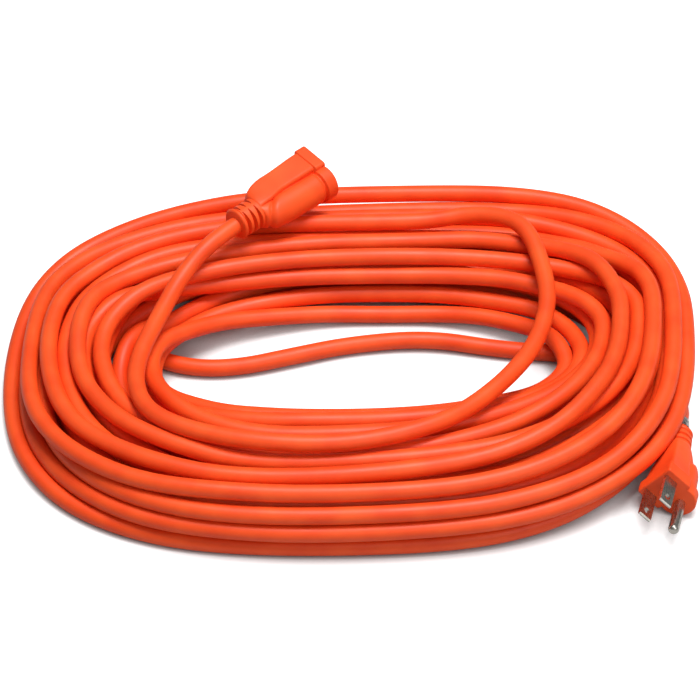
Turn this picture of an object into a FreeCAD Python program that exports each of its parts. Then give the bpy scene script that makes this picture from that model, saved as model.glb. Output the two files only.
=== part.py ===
"""A coiled three-core extension cord with a moulded plug and a moulded connector, in millimetres.

The cord is one 7.9 mm flexible cord: a short lead at the plug, a coil of twenty turns and a
lead that loops over the coil to the connector. Each end has a moulded shell with its metal
pieces and its three insulated conductors inside.
Frame: +Z up, the floor at z = 0, +X to the plug's side, +Y away from the plug's pins.
"""
import FreeCAD, Part
import math
import os

import Sketcher
from FreeCAD import Placement, Rotation, Vector

FULL_TURN = 360.0
QUARTERS = 4

# Driving sizes: alias, value in millimetres or a count, and what it is
SIZES = [
    ("CordDiameter", 7.9, "outer diameter of the cord's jacket"),
    ("CoreDiameter", 2.8, "insulated conductor"),
    ("WireDiameter", 1.5, "stranded copper inside the insulation"),
    ("CoreCircle", 1.75, "radius at which the three conductors lie in the jacket"),
    ("FloorCut", 0.5, "depth to which the coil is pressed flat on the floor"),
    ("FloorGap", 0.05, "height of a free lead over the floor"),
    ("LayerGap", 1.0, "clear height between two layers of the coil"),
    ("GapLeft", 1.7, "clear width between two loops at the left end"),
    ("GapRight", 1.1, "clear width between two loops at the right end"),
    ("GapBack", 1.35, "clear width between two loops at the back"),
    ("GapFront", 1.0, "clear width between two loops at the front"),
    ("InnerLeft", 91.0, "innermost loop's reach to the left"),
    ("InnerRight", 95.0, "innermost loop's reach to the right"),
    ("InnerBack", 44.9, "innermost loop's reach to the back"),
    ("InnerFront", 47.1, "innermost loop's reach to the front"),
    ("BowBack", 8.0, "how far a loop's back side bows out"),
    ("BowFront", 12.0, "how far a loop's front side bows out"),
    ("LeadLift", 12.5, "rise of the right end over the plug's lead"),
    ("FitGap", 0.05, "clearance between a moulding and what it holds"),
    ("BladeSpacing", 12.7, "between the two blades"),
    ("BladeWidth", 6.35, "blade, across"),
    ("BladeThickness", 1.52, "blade, through"),
    ("BladeLength", 16.2, "blade, outside the face"),
    ("BladeHole", 3.2, "hole near the blade's tip"),
    ("BladeHolePlace", 11.9, "hole's distance from the face"),
    ("BladeBevel", 0.55, "bevel at the blade's tip"),
    ("GroundOffset", 11.9, "ground pin from the line of the blades"),
    ("GroundDiameter", 4.75, "ground pin"),
    ("GroundLength", 19.0, "ground pin, outside the face"),
    ("GroundTail", 3.9, "ground pin, behind the face"),
    ("PinSeat", 0.1, "depth to which the ground pin's shoulder sits in the face"),
    ("BladeLine", 5.2, "line of the blades below the cord's axis"),
    ("EdgeRadius", 2.0, "rounding of a moulding's two square edges"),
    ("FlangeLength", 6.0, "thick rim behind the face"),
    ("FlangeStep", 0.9, "rim's height over the grip"),
    ("NeckStep", 0.2, "ledge of the round end where the grip meets the strain relief"),
    ("NeckEdge", 4.5, "rounding of the grip's edges at the strain relief"),
    ("WallFront", 1.6, "moulding between the face and the carrier"),
    ("TailLength", 1.8, "metal behind the carrier"),
    ("NeckRadius", 6.9, "moulding where the strain relief starts"),
    ("ReliefRadius", 5.9, "strain relief at its free end"),
    ("ReliefBore", 12.0, "length of cord held inside the moulding"),
    ("SlotWidth", 1.5, "groove between two rings of the strain relief"),
    ("SlotPitch", 3.6, "from groove to groove"),
    ("SlotFloor", 4.9, "radius left under a groove"),
    ("BackRise", 0.7, "grip's raised back over the grip"),
    ("BackGroove", 1.0, "groove between the rim and the raised back"),
    ("BackNose", 5.0, "length over which the raised back falls to the neck"),
    ("BackFall", 4.0, "how far the raised back falls over its nose"),
    ("PlugHalfWidth", 11.6, "plug, half its width"),
    ("PlugFlat", 10.2, "plug's flat side from the cord's axis"),
    ("PlugRound", 1.2, "centre of the plug's round end from the cord's axis"),
    ("PlugRoundRadius", 11.1, "plug's round end"),
    ("PlugBody", 31.0, "plug, from the face to the strain relief"),
    ("PlugWaist", 21.0, "plug's waist behind the face"),
    ("PlugRelief", 11.5, "plug's strain relief"),
    ("PlugWaistStep", 0.9, "how much narrower the plug's grip is at its waist"),
    ("PlugCarrier", 4.0, "plug's inner carrier, along the pins"),
    ("PlugSideWall", 1.4, "moulding beside the plug's carrier"),
    ("PlugWall", 1.4, "moulding over and under the plug's carrier"),
    ("PlugBack", 14.0, "plug's raised back, along the cord"),
    ("PlugSlots", 3, "grooves in the plug's strain relief"),
    ("OutletHalfWidth", 10.8, "connector, half its width"),
    ("OutletFlat", 10.8, "connector's flat side from the cord's axis"),
    ("OutletRound", 2.6, "centre of the connector's round end from the cord's axis"),
    ("OutletRoundRadius", 9.3, "connector's round end"),
    ("OutletBody", 41.0, "connector, from the face to the strain relief"),
    ("OutletWaist", 30.0, "connector's waist behind the face"),
    ("OutletWaistStep", 0.4, "how much narrower the connector's grip is at its waist"),
    ("OutletRelief", 12.0, "connector's strain relief"),
    ("OutletCarrier", 18.5, "connector's inner carrier, along the pins"),
    ("OutletSideWall", 2.4, "moulding beside the connector's carrier"),
    ("OutletWall", 1.6, "moulding over and under the connector's carrier"),
    ("OutletBack", 28.5, "connector's raised back, along the cord"),
    ("OutletSlots", 3, "grooves in the connector's strain relief"),
    ("HotSlot", 7.0, "narrow slot, across"),
    ("NeutralSlot", 8.7, "wide slot, across"),
    ("SlotThickness", 2.1, "both slots, through"),
    ("GroundHole", 5.2, "ground hole"),
    ("LeafThickness", 0.5, "sheet of the contacts"),
    ("LeafRoom", 0.25, "room for a contact's leaves to spring open"),
    ("SlitWidth", 0.8, "slit that lets the ground contact spring open"),
    ("ContactLength", 15.0, "contact, along the pins"),
    ("ContactRoom", 0.5, "room beside a contact's leaves"),
    ("ContactRecess", 0.8, "contact's mouth behind the carrier's front"),
    ("LabelLength", 9.0, "bare foil band on the cord"),
    ("LabelThickness", 0.25, "foil band's wall"),
    ("LabelGap", 1.0, "cord that shows between the band and the strain relief"),
]

# Loops: the coil's radial place is counted in loops from the innermost one
OUTER_LOOP = 6.75
FIRST_LOOP = 5.5
LAST_LOOP = 2.5
LAYER_RUNS = [(FIRST_LOOP, OUTER_LOOP), (OUTER_LOOP, 0.0), (0.0, OUTER_LOOP), (OUTER_LOOP, LAST_LOOP)]

# The four places where a loop crosses its own axes, in the order in which the cord meets them
SIDES = ["Back", "Right", "Front", "Left"]
HEADINGS = {
    "Back": Vector(1, 0, 0),
    "Right": Vector(0, -1, 0),
    "Front": Vector(-1, 0, 0),
    "Left": Vector(0, 1, 0),
}
# Where the crossing lies along the loop's side, for the innermost loop, and its shift per loop
CROSSINGS = {"Back": (13.0, 0.0), "Right": (5.9, 1.2), "Front": (-22.0, 0.0), "Left": (-1.1, -0.3)}

# Which way the two ends' faces look, and the side to which the ground pin points
PLUG_LOOKS = Vector(-0.245, -0.968, 0.062)
PLUG_GROUND = Vector(0.736, -0.227, -0.638)
OUTLET_LOOKS = Vector(0.72, 0.694, 0.0)
OUTLET_GROUND = Vector(0.688, -0.712, -0.139)

# The free leads' points, chosen by hand along the cord from the end's straight run to the coil.
# The plug's lead runs on the floor under the coil's right end, across the opening and round below
# the back, and its heights are those of its underside over the floor. The connector's lead runs
# over the coil, and its heights are over the middle of the fourth layer.
PLUG_LEAD = [(145.0, 3.9, 0.2), (127.3, 22.9, 0.0), (100.0, 28.7, 0.0), (68.0, 26.4, 0.0),
             (34.0, 28.9, 0.0), (-2.0, 24.9, 0.0), (-29.0, 15.9, 0.0), (-51.0, 6.3, 0.0),
             (-74.5, 5.9, 0.0), (-94.2, 18.5, 0.0), (-104.3, 39.7, 0.0), (-101.5, 63.0, 0.0),
             (-86.6, 81.2, 0.0), (-63.5, 87.8, 0.0), (-32.0, 93.9, 0.0)]
OUTLET_LEAD = [(-85.0, 20.9, 10.9), (-95.0, -11.1, 9.1), (-93.0, -42.1, 9.1), (-72.0, -66.1, 9.1),
               (-38.0, -77.1, 9.1), (0.0, -74.1, 9.9), (34.0, -56.1, 11.9), (60.0, -30.1, 10.9),
               (80.0, -1.1, 8.9), (82.5, 23.5, 8.2), (73.6, 47.9, 7.4), (57.3, 62.6, 3.9)]
PLUG_STRAIGHT = 21.0
OUTLET_STRAIGHT = 14.0
COIL_STRAIGHT = 16.0


doc = FreeCAD.newDocument("ExtensionCord")
sheet = doc.addObject("Spreadsheet::Sheet", "Sizes")
for row, (alias, value, meaning) in enumerate(SIZES, start=1):
    sheet.set(f"A{row}", meaning)
    sheet.set(f"B{row}", str(value))
    sheet.setAlias(f"B{row}", alias)
doc.recompute()
size = {alias: float(sheet.get(alias)) for alias, _, _ in SIZES}

RELIEF_OVERLAP = 2.0
TOLERANCE = 1e-4
GAP_STEP = 2.0
GAP_APART = 60.0
CORD_RADIUS = size["CordDiameter"] / 2
FLOOR_HEIGHT = CORD_RADIUS + size["FloorGap"]
LAYER_PITCH = size["CordDiameter"] + size["LayerGap"]
FIRST_LAYER = CORD_RADIUS - size["FloorCut"]
LAST_LAYER = FIRST_LAYER + (len(LAYER_RUNS) - 1) * LAYER_PITCH


def outer_reach(side):
    """How far the outermost loop's middle lies out on one of the coil's sides."""
    return size["Inner" + side] + OUTER_LOOP * (size["CordDiameter"] + size["Gap" + side])


# The face's centre of each end, on the cord's axis. The plug lies on the floor inside the coil's
# front right corner, and the connector lies on the coil.
PLUG_INSET_RIGHT, PLUG_INSET_FRONT, PLUG_REST = 19.45, 25.675, 1.3
OUTLET_PLACE_LEFT, OUTLET_INSET_BACK, OUTLET_REST = 16.5, 10.1375, 0.2
PLUG_FACE = Vector(outer_reach("Right") - PLUG_INSET_RIGHT, PLUG_INSET_FRONT - outer_reach("Front"),
                   size["PlugRoundRadius"] + PLUG_REST)
OUTLET_FACE = Vector(-OUTLET_PLACE_LEFT, outer_reach("Back") - OUTLET_INSET_BACK,
                     LAST_LAYER + CORD_RADIUS + size["OutletRound"] + size["OutletRoundRadius"]
                     + OUTLET_REST)

nodes = {}


def bind(target, path, expression):
    """Drive one property of a document object by the sheet."""
    target.setExpression(path, expression)


def new_body(label):
    """A PartDesign body that becomes the node of that name."""
    body = doc.addObject("PartDesign::Body", label)
    body.Label = label
    nodes[label] = body
    return body


def origin_plane(body, role):
    """One of a body's own origin planes."""
    return next(item for item in body.Origin.OriginFeatures if item.Role == role)


def new_sketch(body, role="XY_Plane", offset=None):
    """A sketch on an origin plane, moved along the plane's normal by an expression."""
    sketch = body.newObject("Sketcher::SketchObject", body.Name + "_sketch")
    sketch.AttachmentSupport = [(origin_plane(body, role), "")]
    sketch.MapMode = "FlatFace"
    if offset:
        bind(sketch, "AttachmentOffset.Base.z", offset)
    return sketch


def add_constraint(sketch, expression, *arguments):
    """A dimension of a sketch, driven by an expression."""
    index = sketch.addConstraint(Sketcher.Constraint(*arguments))
    if expression:
        bind(sketch, f"Constraints[{index}]", expression)
    return index


def circle_sketch(body, radius, expression, centre=(0.0, 0.0), places=(None, None), offset=None):
    """A circle on the XY plane with its radius and its centre driven by expressions."""
    sketch = new_sketch(body, offset=offset)
    x, y = centre
    sketch.addGeometry(Part.Circle(Vector(x, y, 0), Vector(0, 0, 1), radius))
    add_constraint(sketch, expression, "Radius", 0, radius)
    if places[0]:
        add_constraint(sketch, places[0], "DistanceX", -1, 1, 0, 3, x)
    if places[1]:
        add_constraint(sketch, places[1], "DistanceY", -1, 1, 0, 3, y)
    return sketch


def box_sketch(body, box, expressions, role="XY_Plane", offset=None):
    """A rectangle between two corners, each of its four sides driven by an expression."""
    sketch = new_sketch(body, role, offset)
    x0, y0, x1, y1 = box
    corners = [Vector(x0, y0, 0), Vector(x1, y0, 0), Vector(x1, y1, 0), Vector(x0, y1, 0)]
    for index in range(QUARTERS):
        sketch.addGeometry(Part.LineSegment(corners[index], corners[(index + 1) % QUARTERS]))
    for index in range(QUARTERS):
        after = (index + 1) % QUARTERS
        sketch.addConstraint(Sketcher.Constraint("Coincident", index, 2, after, 1))
        kind = "Horizontal" if index % 2 == 0 else "Vertical"
        sketch.addConstraint(Sketcher.Constraint(kind, index))
    add_constraint(sketch, expressions[0], "DistanceX", -1, 1, 0, 1, x0)
    add_constraint(sketch, expressions[1], "DistanceY", -1, 1, 0, 1, y0)
    add_constraint(sketch, expressions[2], "DistanceX", -1, 1, 1, 2, x1)
    add_constraint(sketch, expressions[3], "DistanceY", -1, 1, 1, 2, y1)
    return sketch


def outline_sketch(body, values, expressions, offset=None):
    """The section of a moulding: a flat side with two rounded edges, two straight sides and a round end.

    The values are the half width, the flat side's distance from the cord's axis, the round end's
    centre and radius, and the edges' rounding. The round end may be narrower than the straight
    part, which then ends in a step on each side.
    """
    half, flat, centre, radius, edge = values
    sketch = new_sketch(body, offset=offset)
    sketch.addGeometry([
        Part.LineSegment(Vector(edge - half, -flat, 0), Vector(half - edge, -flat, 0)),
        Part.ArcOfCircle(Part.Circle(Vector(half - edge, edge - flat, 0), Vector(0, 0, 1), edge),
                         -math.pi / 2, 0),
        Part.LineSegment(Vector(half, edge - flat, 0), Vector(half, centre, 0)),
        Part.LineSegment(Vector(half, centre, 0), Vector(radius, centre, 0)),
        Part.ArcOfCircle(Part.Circle(Vector(0, centre, 0), Vector(0, 0, 1), radius), 0, math.pi / 2),
        Part.ArcOfCircle(Part.Circle(Vector(0, centre, 0), Vector(0, 0, 1), radius),
                         math.pi / 2, math.pi),
        Part.LineSegment(Vector(-radius, centre, 0), Vector(-half, centre, 0)),
        Part.LineSegment(Vector(-half, centre, 0), Vector(-half, edge - flat, 0)),
        Part.ArcOfCircle(Part.Circle(Vector(edge - half, edge - flat, 0), Vector(0, 0, 1), edge),
                         math.pi, 3 * math.pi / 2),
    ])
    joints = [(0, 2, 1, 1), (1, 2, 2, 1), (2, 2, 3, 1), (3, 2, 4, 1), (4, 2, 5, 1), (5, 2, 6, 1),
              (6, 2, 7, 1), (7, 2, 8, 1), (8, 2, 0, 1), (4, 3, 5, 3)]
    for joint in joints:
        sketch.addConstraint(Sketcher.Constraint("Coincident", *joint))
    for line in (0, 3, 6):
        sketch.addConstraint(Sketcher.Constraint("Horizontal", line))
    for line in (2, 7):
        sketch.addConstraint(Sketcher.Constraint("Vertical", line))
    for arc, flat_point, side_point in ((1, 2, (2, 1)), (8, 1, (7, 2))):
        sketch.addConstraint(Sketcher.Constraint("Vertical", arc, 3, 0, flat_point))
        sketch.addConstraint(Sketcher.Constraint("Horizontal", arc, 3, *side_point))
    sketch.addConstraint(Sketcher.Constraint("Vertical", 4, 3, 4, 2))
    sketch.addConstraint(Sketcher.Constraint("PointOnObject", 4, 3, -2))
    add_constraint(sketch, expressions[4], "Radius", 1, edge)
    add_constraint(sketch, expressions[4], "Radius", 8, edge)
    add_constraint(sketch, expressions[3], "Radius", 4, radius)
    add_constraint(sketch, expressions[0], "DistanceX", -1, 1, 2, 2, half)
    add_constraint(sketch, "-(" + expressions[0] + ")", "DistanceX", -1, 1, 7, 1, -half)
    add_constraint(sketch, "-(" + expressions[1] + ")", "DistanceY", -1, 1, 0, 1, -flat)
    add_constraint(sketch, expressions[2], "DistanceY", -1, 1, 2, 2, centre)
    return sketch


def new_feature(body, kind, profile, length=None, **settings):
    """A PartDesign feature on a profile, with its length driven by an expression."""
    feature = body.newObject("PartDesign::" + kind, body.Name + "_" + kind)
    feature.Profile = profile
    for name, value in settings.items():
        setattr(feature, name, value)
    if length:
        bind(feature, "Length", length)
    profile.Visibility = False
    return feature


def frame_placement(origin, looks, ground):
    """The placement of an end's own frame: Z out of the face, Y to the ground pin's side."""
    z_axis = Vector(looks).normalize()
    y_axis = (ground - z_axis * ground.dot(z_axis)).normalize()
    x_axis = y_axis.cross(z_axis)
    return Placement(origin, Rotation(x_axis, y_axis, z_axis, "ZYX"))


PLUG_PLACE = frame_placement(PLUG_FACE, PLUG_LOOKS, PLUG_GROUND)
OUTLET_PLACE = frame_placement(OUTLET_FACE, OUTLET_LOOKS, OUTLET_GROUND)


def section(end, body, offset, less=(), sides_less=None):
    """An end's outline, drawn in by the sum of the sheet's cells named in less.

    The two straight sides are drawn in by the cells named in sides_less, where these are given.
    """
    sides_less = less if sides_less is None else sides_less
    drawn, sides_drawn = (sum(size[alias] for alias in cells) for cells in (less, sides_less))
    minus, sides_minus = ("".join(f" - Sizes.{alias}" for alias in cells)
                          for cells in (less, sides_less))
    values = (size[end + "HalfWidth"] - sides_drawn, size[end + "Flat"] - drawn,
              size[end + "Round"], size[end + "RoundRadius"] - drawn, size["EdgeRadius"])
    expressions = (f"Sizes.{end}HalfWidth{sides_minus}", f"Sizes.{end}Flat{minus}",
                   f"Sizes.{end}Round", f"Sizes.{end}RoundRadius{minus}", "Sizes.EdgeRadius")
    return outline_sketch(body, values, expressions, offset)


def neck_section(body, offset):
    """The nearly round section from which a strain relief grows."""
    neck = size["NeckRadius"]
    values = (neck, neck, 0.0, neck - size["NeckStep"], size["NeckEdge"])
    expressions = ("Sizes.NeckRadius", "Sizes.NeckRadius", "0", "Sizes.NeckRadius - Sizes.NeckStep",
                   "Sizes.NeckEdge")
    return outline_sketch(body, values, expressions, offset)


def half_round_sketch(end, body, drawn, drawn_text, offset):
    """The half-round section of an end's raised back, about the centre of its round end."""
    radius = size[end + "RoundRadius"] - size["FlangeStep"] + size["BackRise"] - drawn
    centre = size[end + "Round"]
    sketch = new_sketch(body, offset=offset)
    sketch.addGeometry([
        Part.ArcOfCircle(Part.Circle(Vector(0, centre, 0), Vector(0, 0, 1), radius), 0, math.pi),
        Part.LineSegment(Vector(-radius, centre, 0), Vector(radius, centre, 0)),
    ])
    sketch.addConstraint(Sketcher.Constraint("Coincident", 0, 2, 1, 1))
    sketch.addConstraint(Sketcher.Constraint("Coincident", 1, 2, 0, 1))
    sketch.addConstraint(Sketcher.Constraint("Horizontal", 1))
    sketch.addConstraint(Sketcher.Constraint("PointOnObject", 0, 3, 1))
    sketch.addConstraint(Sketcher.Constraint("PointOnObject", 0, 3, -2))
    add_constraint(sketch, f"Sizes.{end}RoundRadius - Sizes.FlangeStep + Sizes.BackRise{drawn_text}",
                   "Radius", 0, radius)
    add_constraint(sketch, f"Sizes.{end}Round", "DistanceY", -1, 1, 0, 3, centre)
    return sketch


def add_raised_back(end, body):
    """The grip's raised half-round back, which falls to the neck in a nose."""
    front = "-(Sizes.FlangeLength + Sizes.BackGroove)"
    nose = f"{front} - (Sizes.{end}Back - Sizes.BackNose)"
    new_feature(body, "Pad", half_round_sketch(end, body, 0.0, "", front),
                f"Sizes.{end}Back - Sizes.BackNose", Reversed=True)
    fallen = half_round_sketch(end, body, size["BackFall"], " - Sizes.BackFall",
                               f"{front} - Sizes.{end}Back")
    new_feature(body, "AdditiveLoft", half_round_sketch(end, body, 0.0, "", nose), Sections=[fallen])


def add_strain_relief(end, body):
    """A tapered collar turned round the cord, with a row of grooves between its rings."""
    start, stop = -size[end + "Body"], -size[end + "Body"] - size[end + "Relief"]
    inside = start + RELIEF_OVERLAP
    neck, tip = size["NeckRadius"] - size["NeckStep"], size["ReliefRadius"]
    points = [(0, stop), (tip, stop), (neck, start), (neck, inside), (0, inside)]
    sketch = new_sketch(body, "XZ_Plane")
    count = len(points)
    for index, point in enumerate(points):
        after = points[(index + 1) % count]
        sketch.addGeometry(Part.LineSegment(Vector(*point, 0), Vector(*after, 0)))
    for index in range(count):
        sketch.addConstraint(Sketcher.Constraint("Coincident", index, 2, (index + 1) % count, 1))
    sketch.addConstraint(Sketcher.Constraint("Horizontal", 0))
    sketch.addConstraint(Sketcher.Constraint("Vertical", 2))
    sketch.addConstraint(Sketcher.Constraint("Horizontal", 3))
    sketch.addConstraint(Sketcher.Constraint("PointOnObject", 0, 1, -2))
    sketch.addConstraint(Sketcher.Constraint("PointOnObject", 3, 2, -2))
    add_constraint(sketch, "Sizes.ReliefRadius", "DistanceX", -1, 1, 0, 2, tip)
    add_constraint(sketch, f"-Sizes.{end}Body - Sizes.{end}Relief", "DistanceY", -1, 1, 0, 2, stop)
    add_constraint(sketch, "Sizes.NeckRadius - Sizes.NeckStep", "DistanceX", -1, 1, 1, 2, neck)
    add_constraint(sketch, f"-Sizes.{end}Body", "DistanceY", -1, 1, 1, 2, start)
    add_constraint(sketch, f"{RELIEF_OVERLAP} - Sizes.{end}Body", "DistanceY", -1, 1, 2, 2, inside)
    new_feature(body, "Revolution", sketch, ReferenceAxis=(sketch, ["V_Axis"]), Angle=FULL_TURN)
    first = start - size["SlotWidth"]
    outer = size["NeckRadius"] + RELIEF_OVERLAP
    ring = box_sketch(body, (size["SlotFloor"], first - size["SlotWidth"], outer, first),
                      ("Sizes.SlotFloor", f"-Sizes.{end}Body - 2 * Sizes.SlotWidth",
                       f"Sizes.NeckRadius + {RELIEF_OVERLAP}", f"-Sizes.{end}Body - Sizes.SlotWidth"),
                      role="XZ_Plane")
    groove = new_feature(body, "Groove", ring, ReferenceAxis=(ring, ["V_Axis"]), Angle=FULL_TURN)
    rings = body.newObject("PartDesign::LinearPattern", body.Name + "_Rings")
    rings.Originals = [groove]
    rings.Direction = (ring, ["V_Axis"])
    rings.Reversed = True
    bind(rings, "Length", f"Sizes.SlotPitch * (Sizes.{end}Slots - 1)")
    bind(rings, "Occurrences", f"Sizes.{end}Slots")
    body.Tip = rings


def core_places(end):
    """Each conductor's name, and its place at the metal piece and in the jacket, with expressions."""
    angle = math.radians(30)
    side, low = size["CoreCircle"] * math.cos(angle), size["CoreCircle"] * math.sin(angle)
    hot = 1 if end == "Plug" else -1
    places = []
    for name, way in (("hot", hot), ("neutral", -hot)):
        places.append((name, (way * size["BladeSpacing"] / 2, -size["BladeLine"]),
                       (f"{way} * Sizes.BladeSpacing / 2", "-Sizes.BladeLine"),
                       (way * side, -low),
                       (f"{way} * Sizes.CoreCircle * cos(30)", "-Sizes.CoreCircle * sin(30)")))
    places.append(("ground", (0.0, size["GroundOffset"] - size["BladeLine"]),
                   ("0", "Sizes.GroundOffset - Sizes.BladeLine"), (0.0, size["CoreCircle"]),
                   ("0", "Sizes.CoreCircle")))
    return places


def tail_offset(end):
    """Where the metal pieces' tails end and the conductors start, as an expression."""
    return f"-(Sizes.WallFront + Sizes.{end}Carrier + Sizes.TailLength)"


def jacket_offset(end):
    """Where the cord's jacket ends inside the moulding, as an expression."""
    return f"-(Sizes.{end}Body + Sizes.{end}Relief - Sizes.ReliefBore)"


def core_loft(end, body, place, kind, diameter):
    """A conductor's length from its metal piece to the jacket, added to a body or cut from it."""
    _, start, start_text, stop, stop_text = place
    radius, text = size[diameter] / 2, f"Sizes.{diameter} / 2"
    first = circle_sketch(body, radius, text, start, start_text, tail_offset(end))
    last = circle_sketch(body, radius, text, stop, stop_text, jacket_offset(end))
    return new_feature(body, kind, first, Sections=[last], Ruled=True)


def metal_box(half_thick, half_wide, way):
    """A blade's section, by half its sizes, and the expressions that drive it."""
    centre = way * size["BladeSpacing"] / 2
    thick, wide = half_thick[0], half_wide[0]
    box = (centre - thick, -size["BladeLine"] - wide, centre + thick, -size["BladeLine"] + wide)
    middle = f"{way} * Sizes.BladeSpacing / 2"
    texts = (f"{middle} - ({half_thick[1]})", f"-Sizes.BladeLine - ({half_wide[1]})",
             f"{middle} + ({half_thick[1]})", f"-Sizes.BladeLine + ({half_wide[1]})")
    return box, texts


def half_of(alias, *more):
    """Half a cell, with other cells added, as a number and as an expression."""
    number = size[alias] / 2 + sum(size[name] for name in more)
    return number, f"Sizes.{alias} / 2" + "".join(f" + Sizes.{name}" for name in more)


def build_shell(end, label, place):
    """A moulded end: rim, waisted grip with a raised back, strain relief, and the space of its parts."""
    body = new_body(label)
    new_feature(body, "Pad", section(end, body, "0"), "Sizes.FlangeLength", Reversed=True)
    front = section(end, body, "-Sizes.FlangeLength", ["FlangeStep"])
    waist = section(end, body, f"-Sizes.{end}Waist", ["FlangeStep", end + "WaistStep"])
    neck = neck_section(body, f"-Sizes.{end}Body")
    new_feature(body, "AdditiveLoft", front, Sections=[waist, neck])
    add_raised_back(end, body)
    add_strain_relief(end, body)
    room = section(end, body, "-Sizes.WallFront", [end + "Wall"], [end + "SideWall"])
    new_feature(body, "Pocket", room, f"Sizes.{end}Carrier")
    end_of_carrier = f"-(Sizes.WallFront + Sizes.{end}Carrier)"
    for way in (1, -1):
        box, texts = metal_box(half_of("BladeThickness", "FitGap"), half_of("BladeWidth", "FitGap"), way)
        new_feature(body, "Pocket", box_sketch(body, box, texts, offset="-Sizes.WallFront"),
                    f"Sizes.{end}Carrier + Sizes.TailLength")
    ground = core_places(end)[-1]
    tail_radius, tail_text = half_of("GroundTail", "FitGap")
    new_feature(body, "Pocket", circle_sketch(body, tail_radius, tail_text, ground[1], ground[2],
                end_of_carrier), "Sizes.TailLength")
    for core in core_places(end):
        core_loft(end, body, core, "SubtractiveLoft", "CoreDiameter")
    bore = circle_sketch(body, CORD_RADIUS + size["FitGap"], "Sizes.CordDiameter / 2 + Sizes.FitGap",
                         places=("0", "0"), offset=f"-(Sizes.{end}Body + Sizes.{end}Relief)")
    new_feature(body, "Pocket", bore, "Sizes.ReliefBore", Reversed=True)
    body.Placement = place
    return body


def cut_plug_face(body):
    """The passages of the blades and the ground pin through the plug's face."""
    for way in (1, -1):
        box, texts = metal_box(half_of("BladeThickness", "FitGap"), half_of("BladeWidth", "FitGap"), way)
        new_feature(body, "Pocket", box_sketch(body, box, texts), "Sizes.WallFront")
    _, place, texts, _, _ = core_places("Plug")[-1]
    for part, depth in (("GroundTail", "Sizes.WallFront"), ("GroundDiameter", "Sizes.PinSeat")):
        radius, radius_text = half_of(part, "FitGap")
        new_feature(body, "Pocket", circle_sketch(body, radius, radius_text, place, texts), depth)


def cut_outlet_face(body):
    """The two slots and the ground hole in the connector's face, and the contacts' rooms behind it."""
    for way, slot in ((-1, "HotSlot"), (1, "NeutralSlot")):
        box, texts = metal_box(half_of("SlotThickness"), half_of(slot), way)
        new_feature(body, "Pocket", box_sketch(body, box, texts), "Sizes.WallFront")
        thick = half_of("BladeThickness", "LeafThickness", "LeafRoom")
        box, texts = metal_box(thick, half_of("BladeWidth", "ContactRoom"), way)
        new_feature(body, "Pocket", box_sketch(body, box, texts, offset="-Sizes.WallFront"),
                    "Sizes.ContactRecess + Sizes.ContactLength")
    _, place, texts, _, _ = core_places("Outlet")[-1]
    radius, radius_text = half_of("GroundHole")
    new_feature(body, "Pocket", circle_sketch(body, radius, radius_text, place, texts),
                "Sizes.WallFront")


def build_carrier(end, label, place):
    """The hard inner block that holds the metal pieces in line."""
    body = new_body(label)
    block = section(end, body, "-Sizes.WallFront", [end + "Wall", "FitGap"],
                    [end + "SideWall", "FitGap"])
    new_feature(body, "Pad", block, f"Sizes.{end}Carrier", Reversed=True)
    body.Placement = place
    return body


def bore_plug_carrier(body):
    """The passages of the blades and the ground pin through the plug's carrier."""
    for way in (1, -1):
        box, texts = metal_box(half_of("BladeThickness", "FitGap"), half_of("BladeWidth", "FitGap"), way)
        new_feature(body, "Pocket", box_sketch(body, box, texts, offset="-Sizes.WallFront"),
                    "Sizes.PlugCarrier")
    _, place, texts, _, _ = core_places("Plug")[-1]
    radius, radius_text = half_of("GroundTail", "FitGap")
    new_feature(body, "Pocket", circle_sketch(body, radius, radius_text, place, texts,
                "-Sizes.WallFront"), "Sizes.PlugCarrier")


def bore_outlet_carrier(body):
    """The rooms of the three contacts in the connector's carrier, and the passages of their tails."""
    depth = "Sizes.ContactRecess + Sizes.ContactLength"
    for way in (1, -1):
        thick = half_of("BladeThickness", "LeafThickness", "LeafRoom")
        box, texts = metal_box(thick, half_of("BladeWidth", "ContactRoom"), way)
        new_feature(body, "Pocket", box_sketch(body, box, texts, offset="-Sizes.WallFront"), depth)
        box, texts = metal_box(half_of("BladeThickness", "FitGap"), half_of("BladeWidth", "FitGap"), way)
        new_feature(body, "Pocket", box_sketch(body, box, texts, offset="-Sizes.WallFront"),
                    "Sizes.OutletCarrier")
    _, place, texts, _, _ = core_places("Outlet")[-1]
    radius, radius_text = half_of("GroundDiameter", "LeafThickness", "LeafRoom")
    new_feature(body, "Pocket", circle_sketch(body, radius, radius_text, place, texts,
                "-Sizes.WallFront"), depth)
    radius, radius_text = half_of("BladeThickness", "FitGap")
    new_feature(body, "Pocket", circle_sketch(body, radius, radius_text, place, texts,
                "-Sizes.WallFront"), "Sizes.OutletCarrier")


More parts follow.
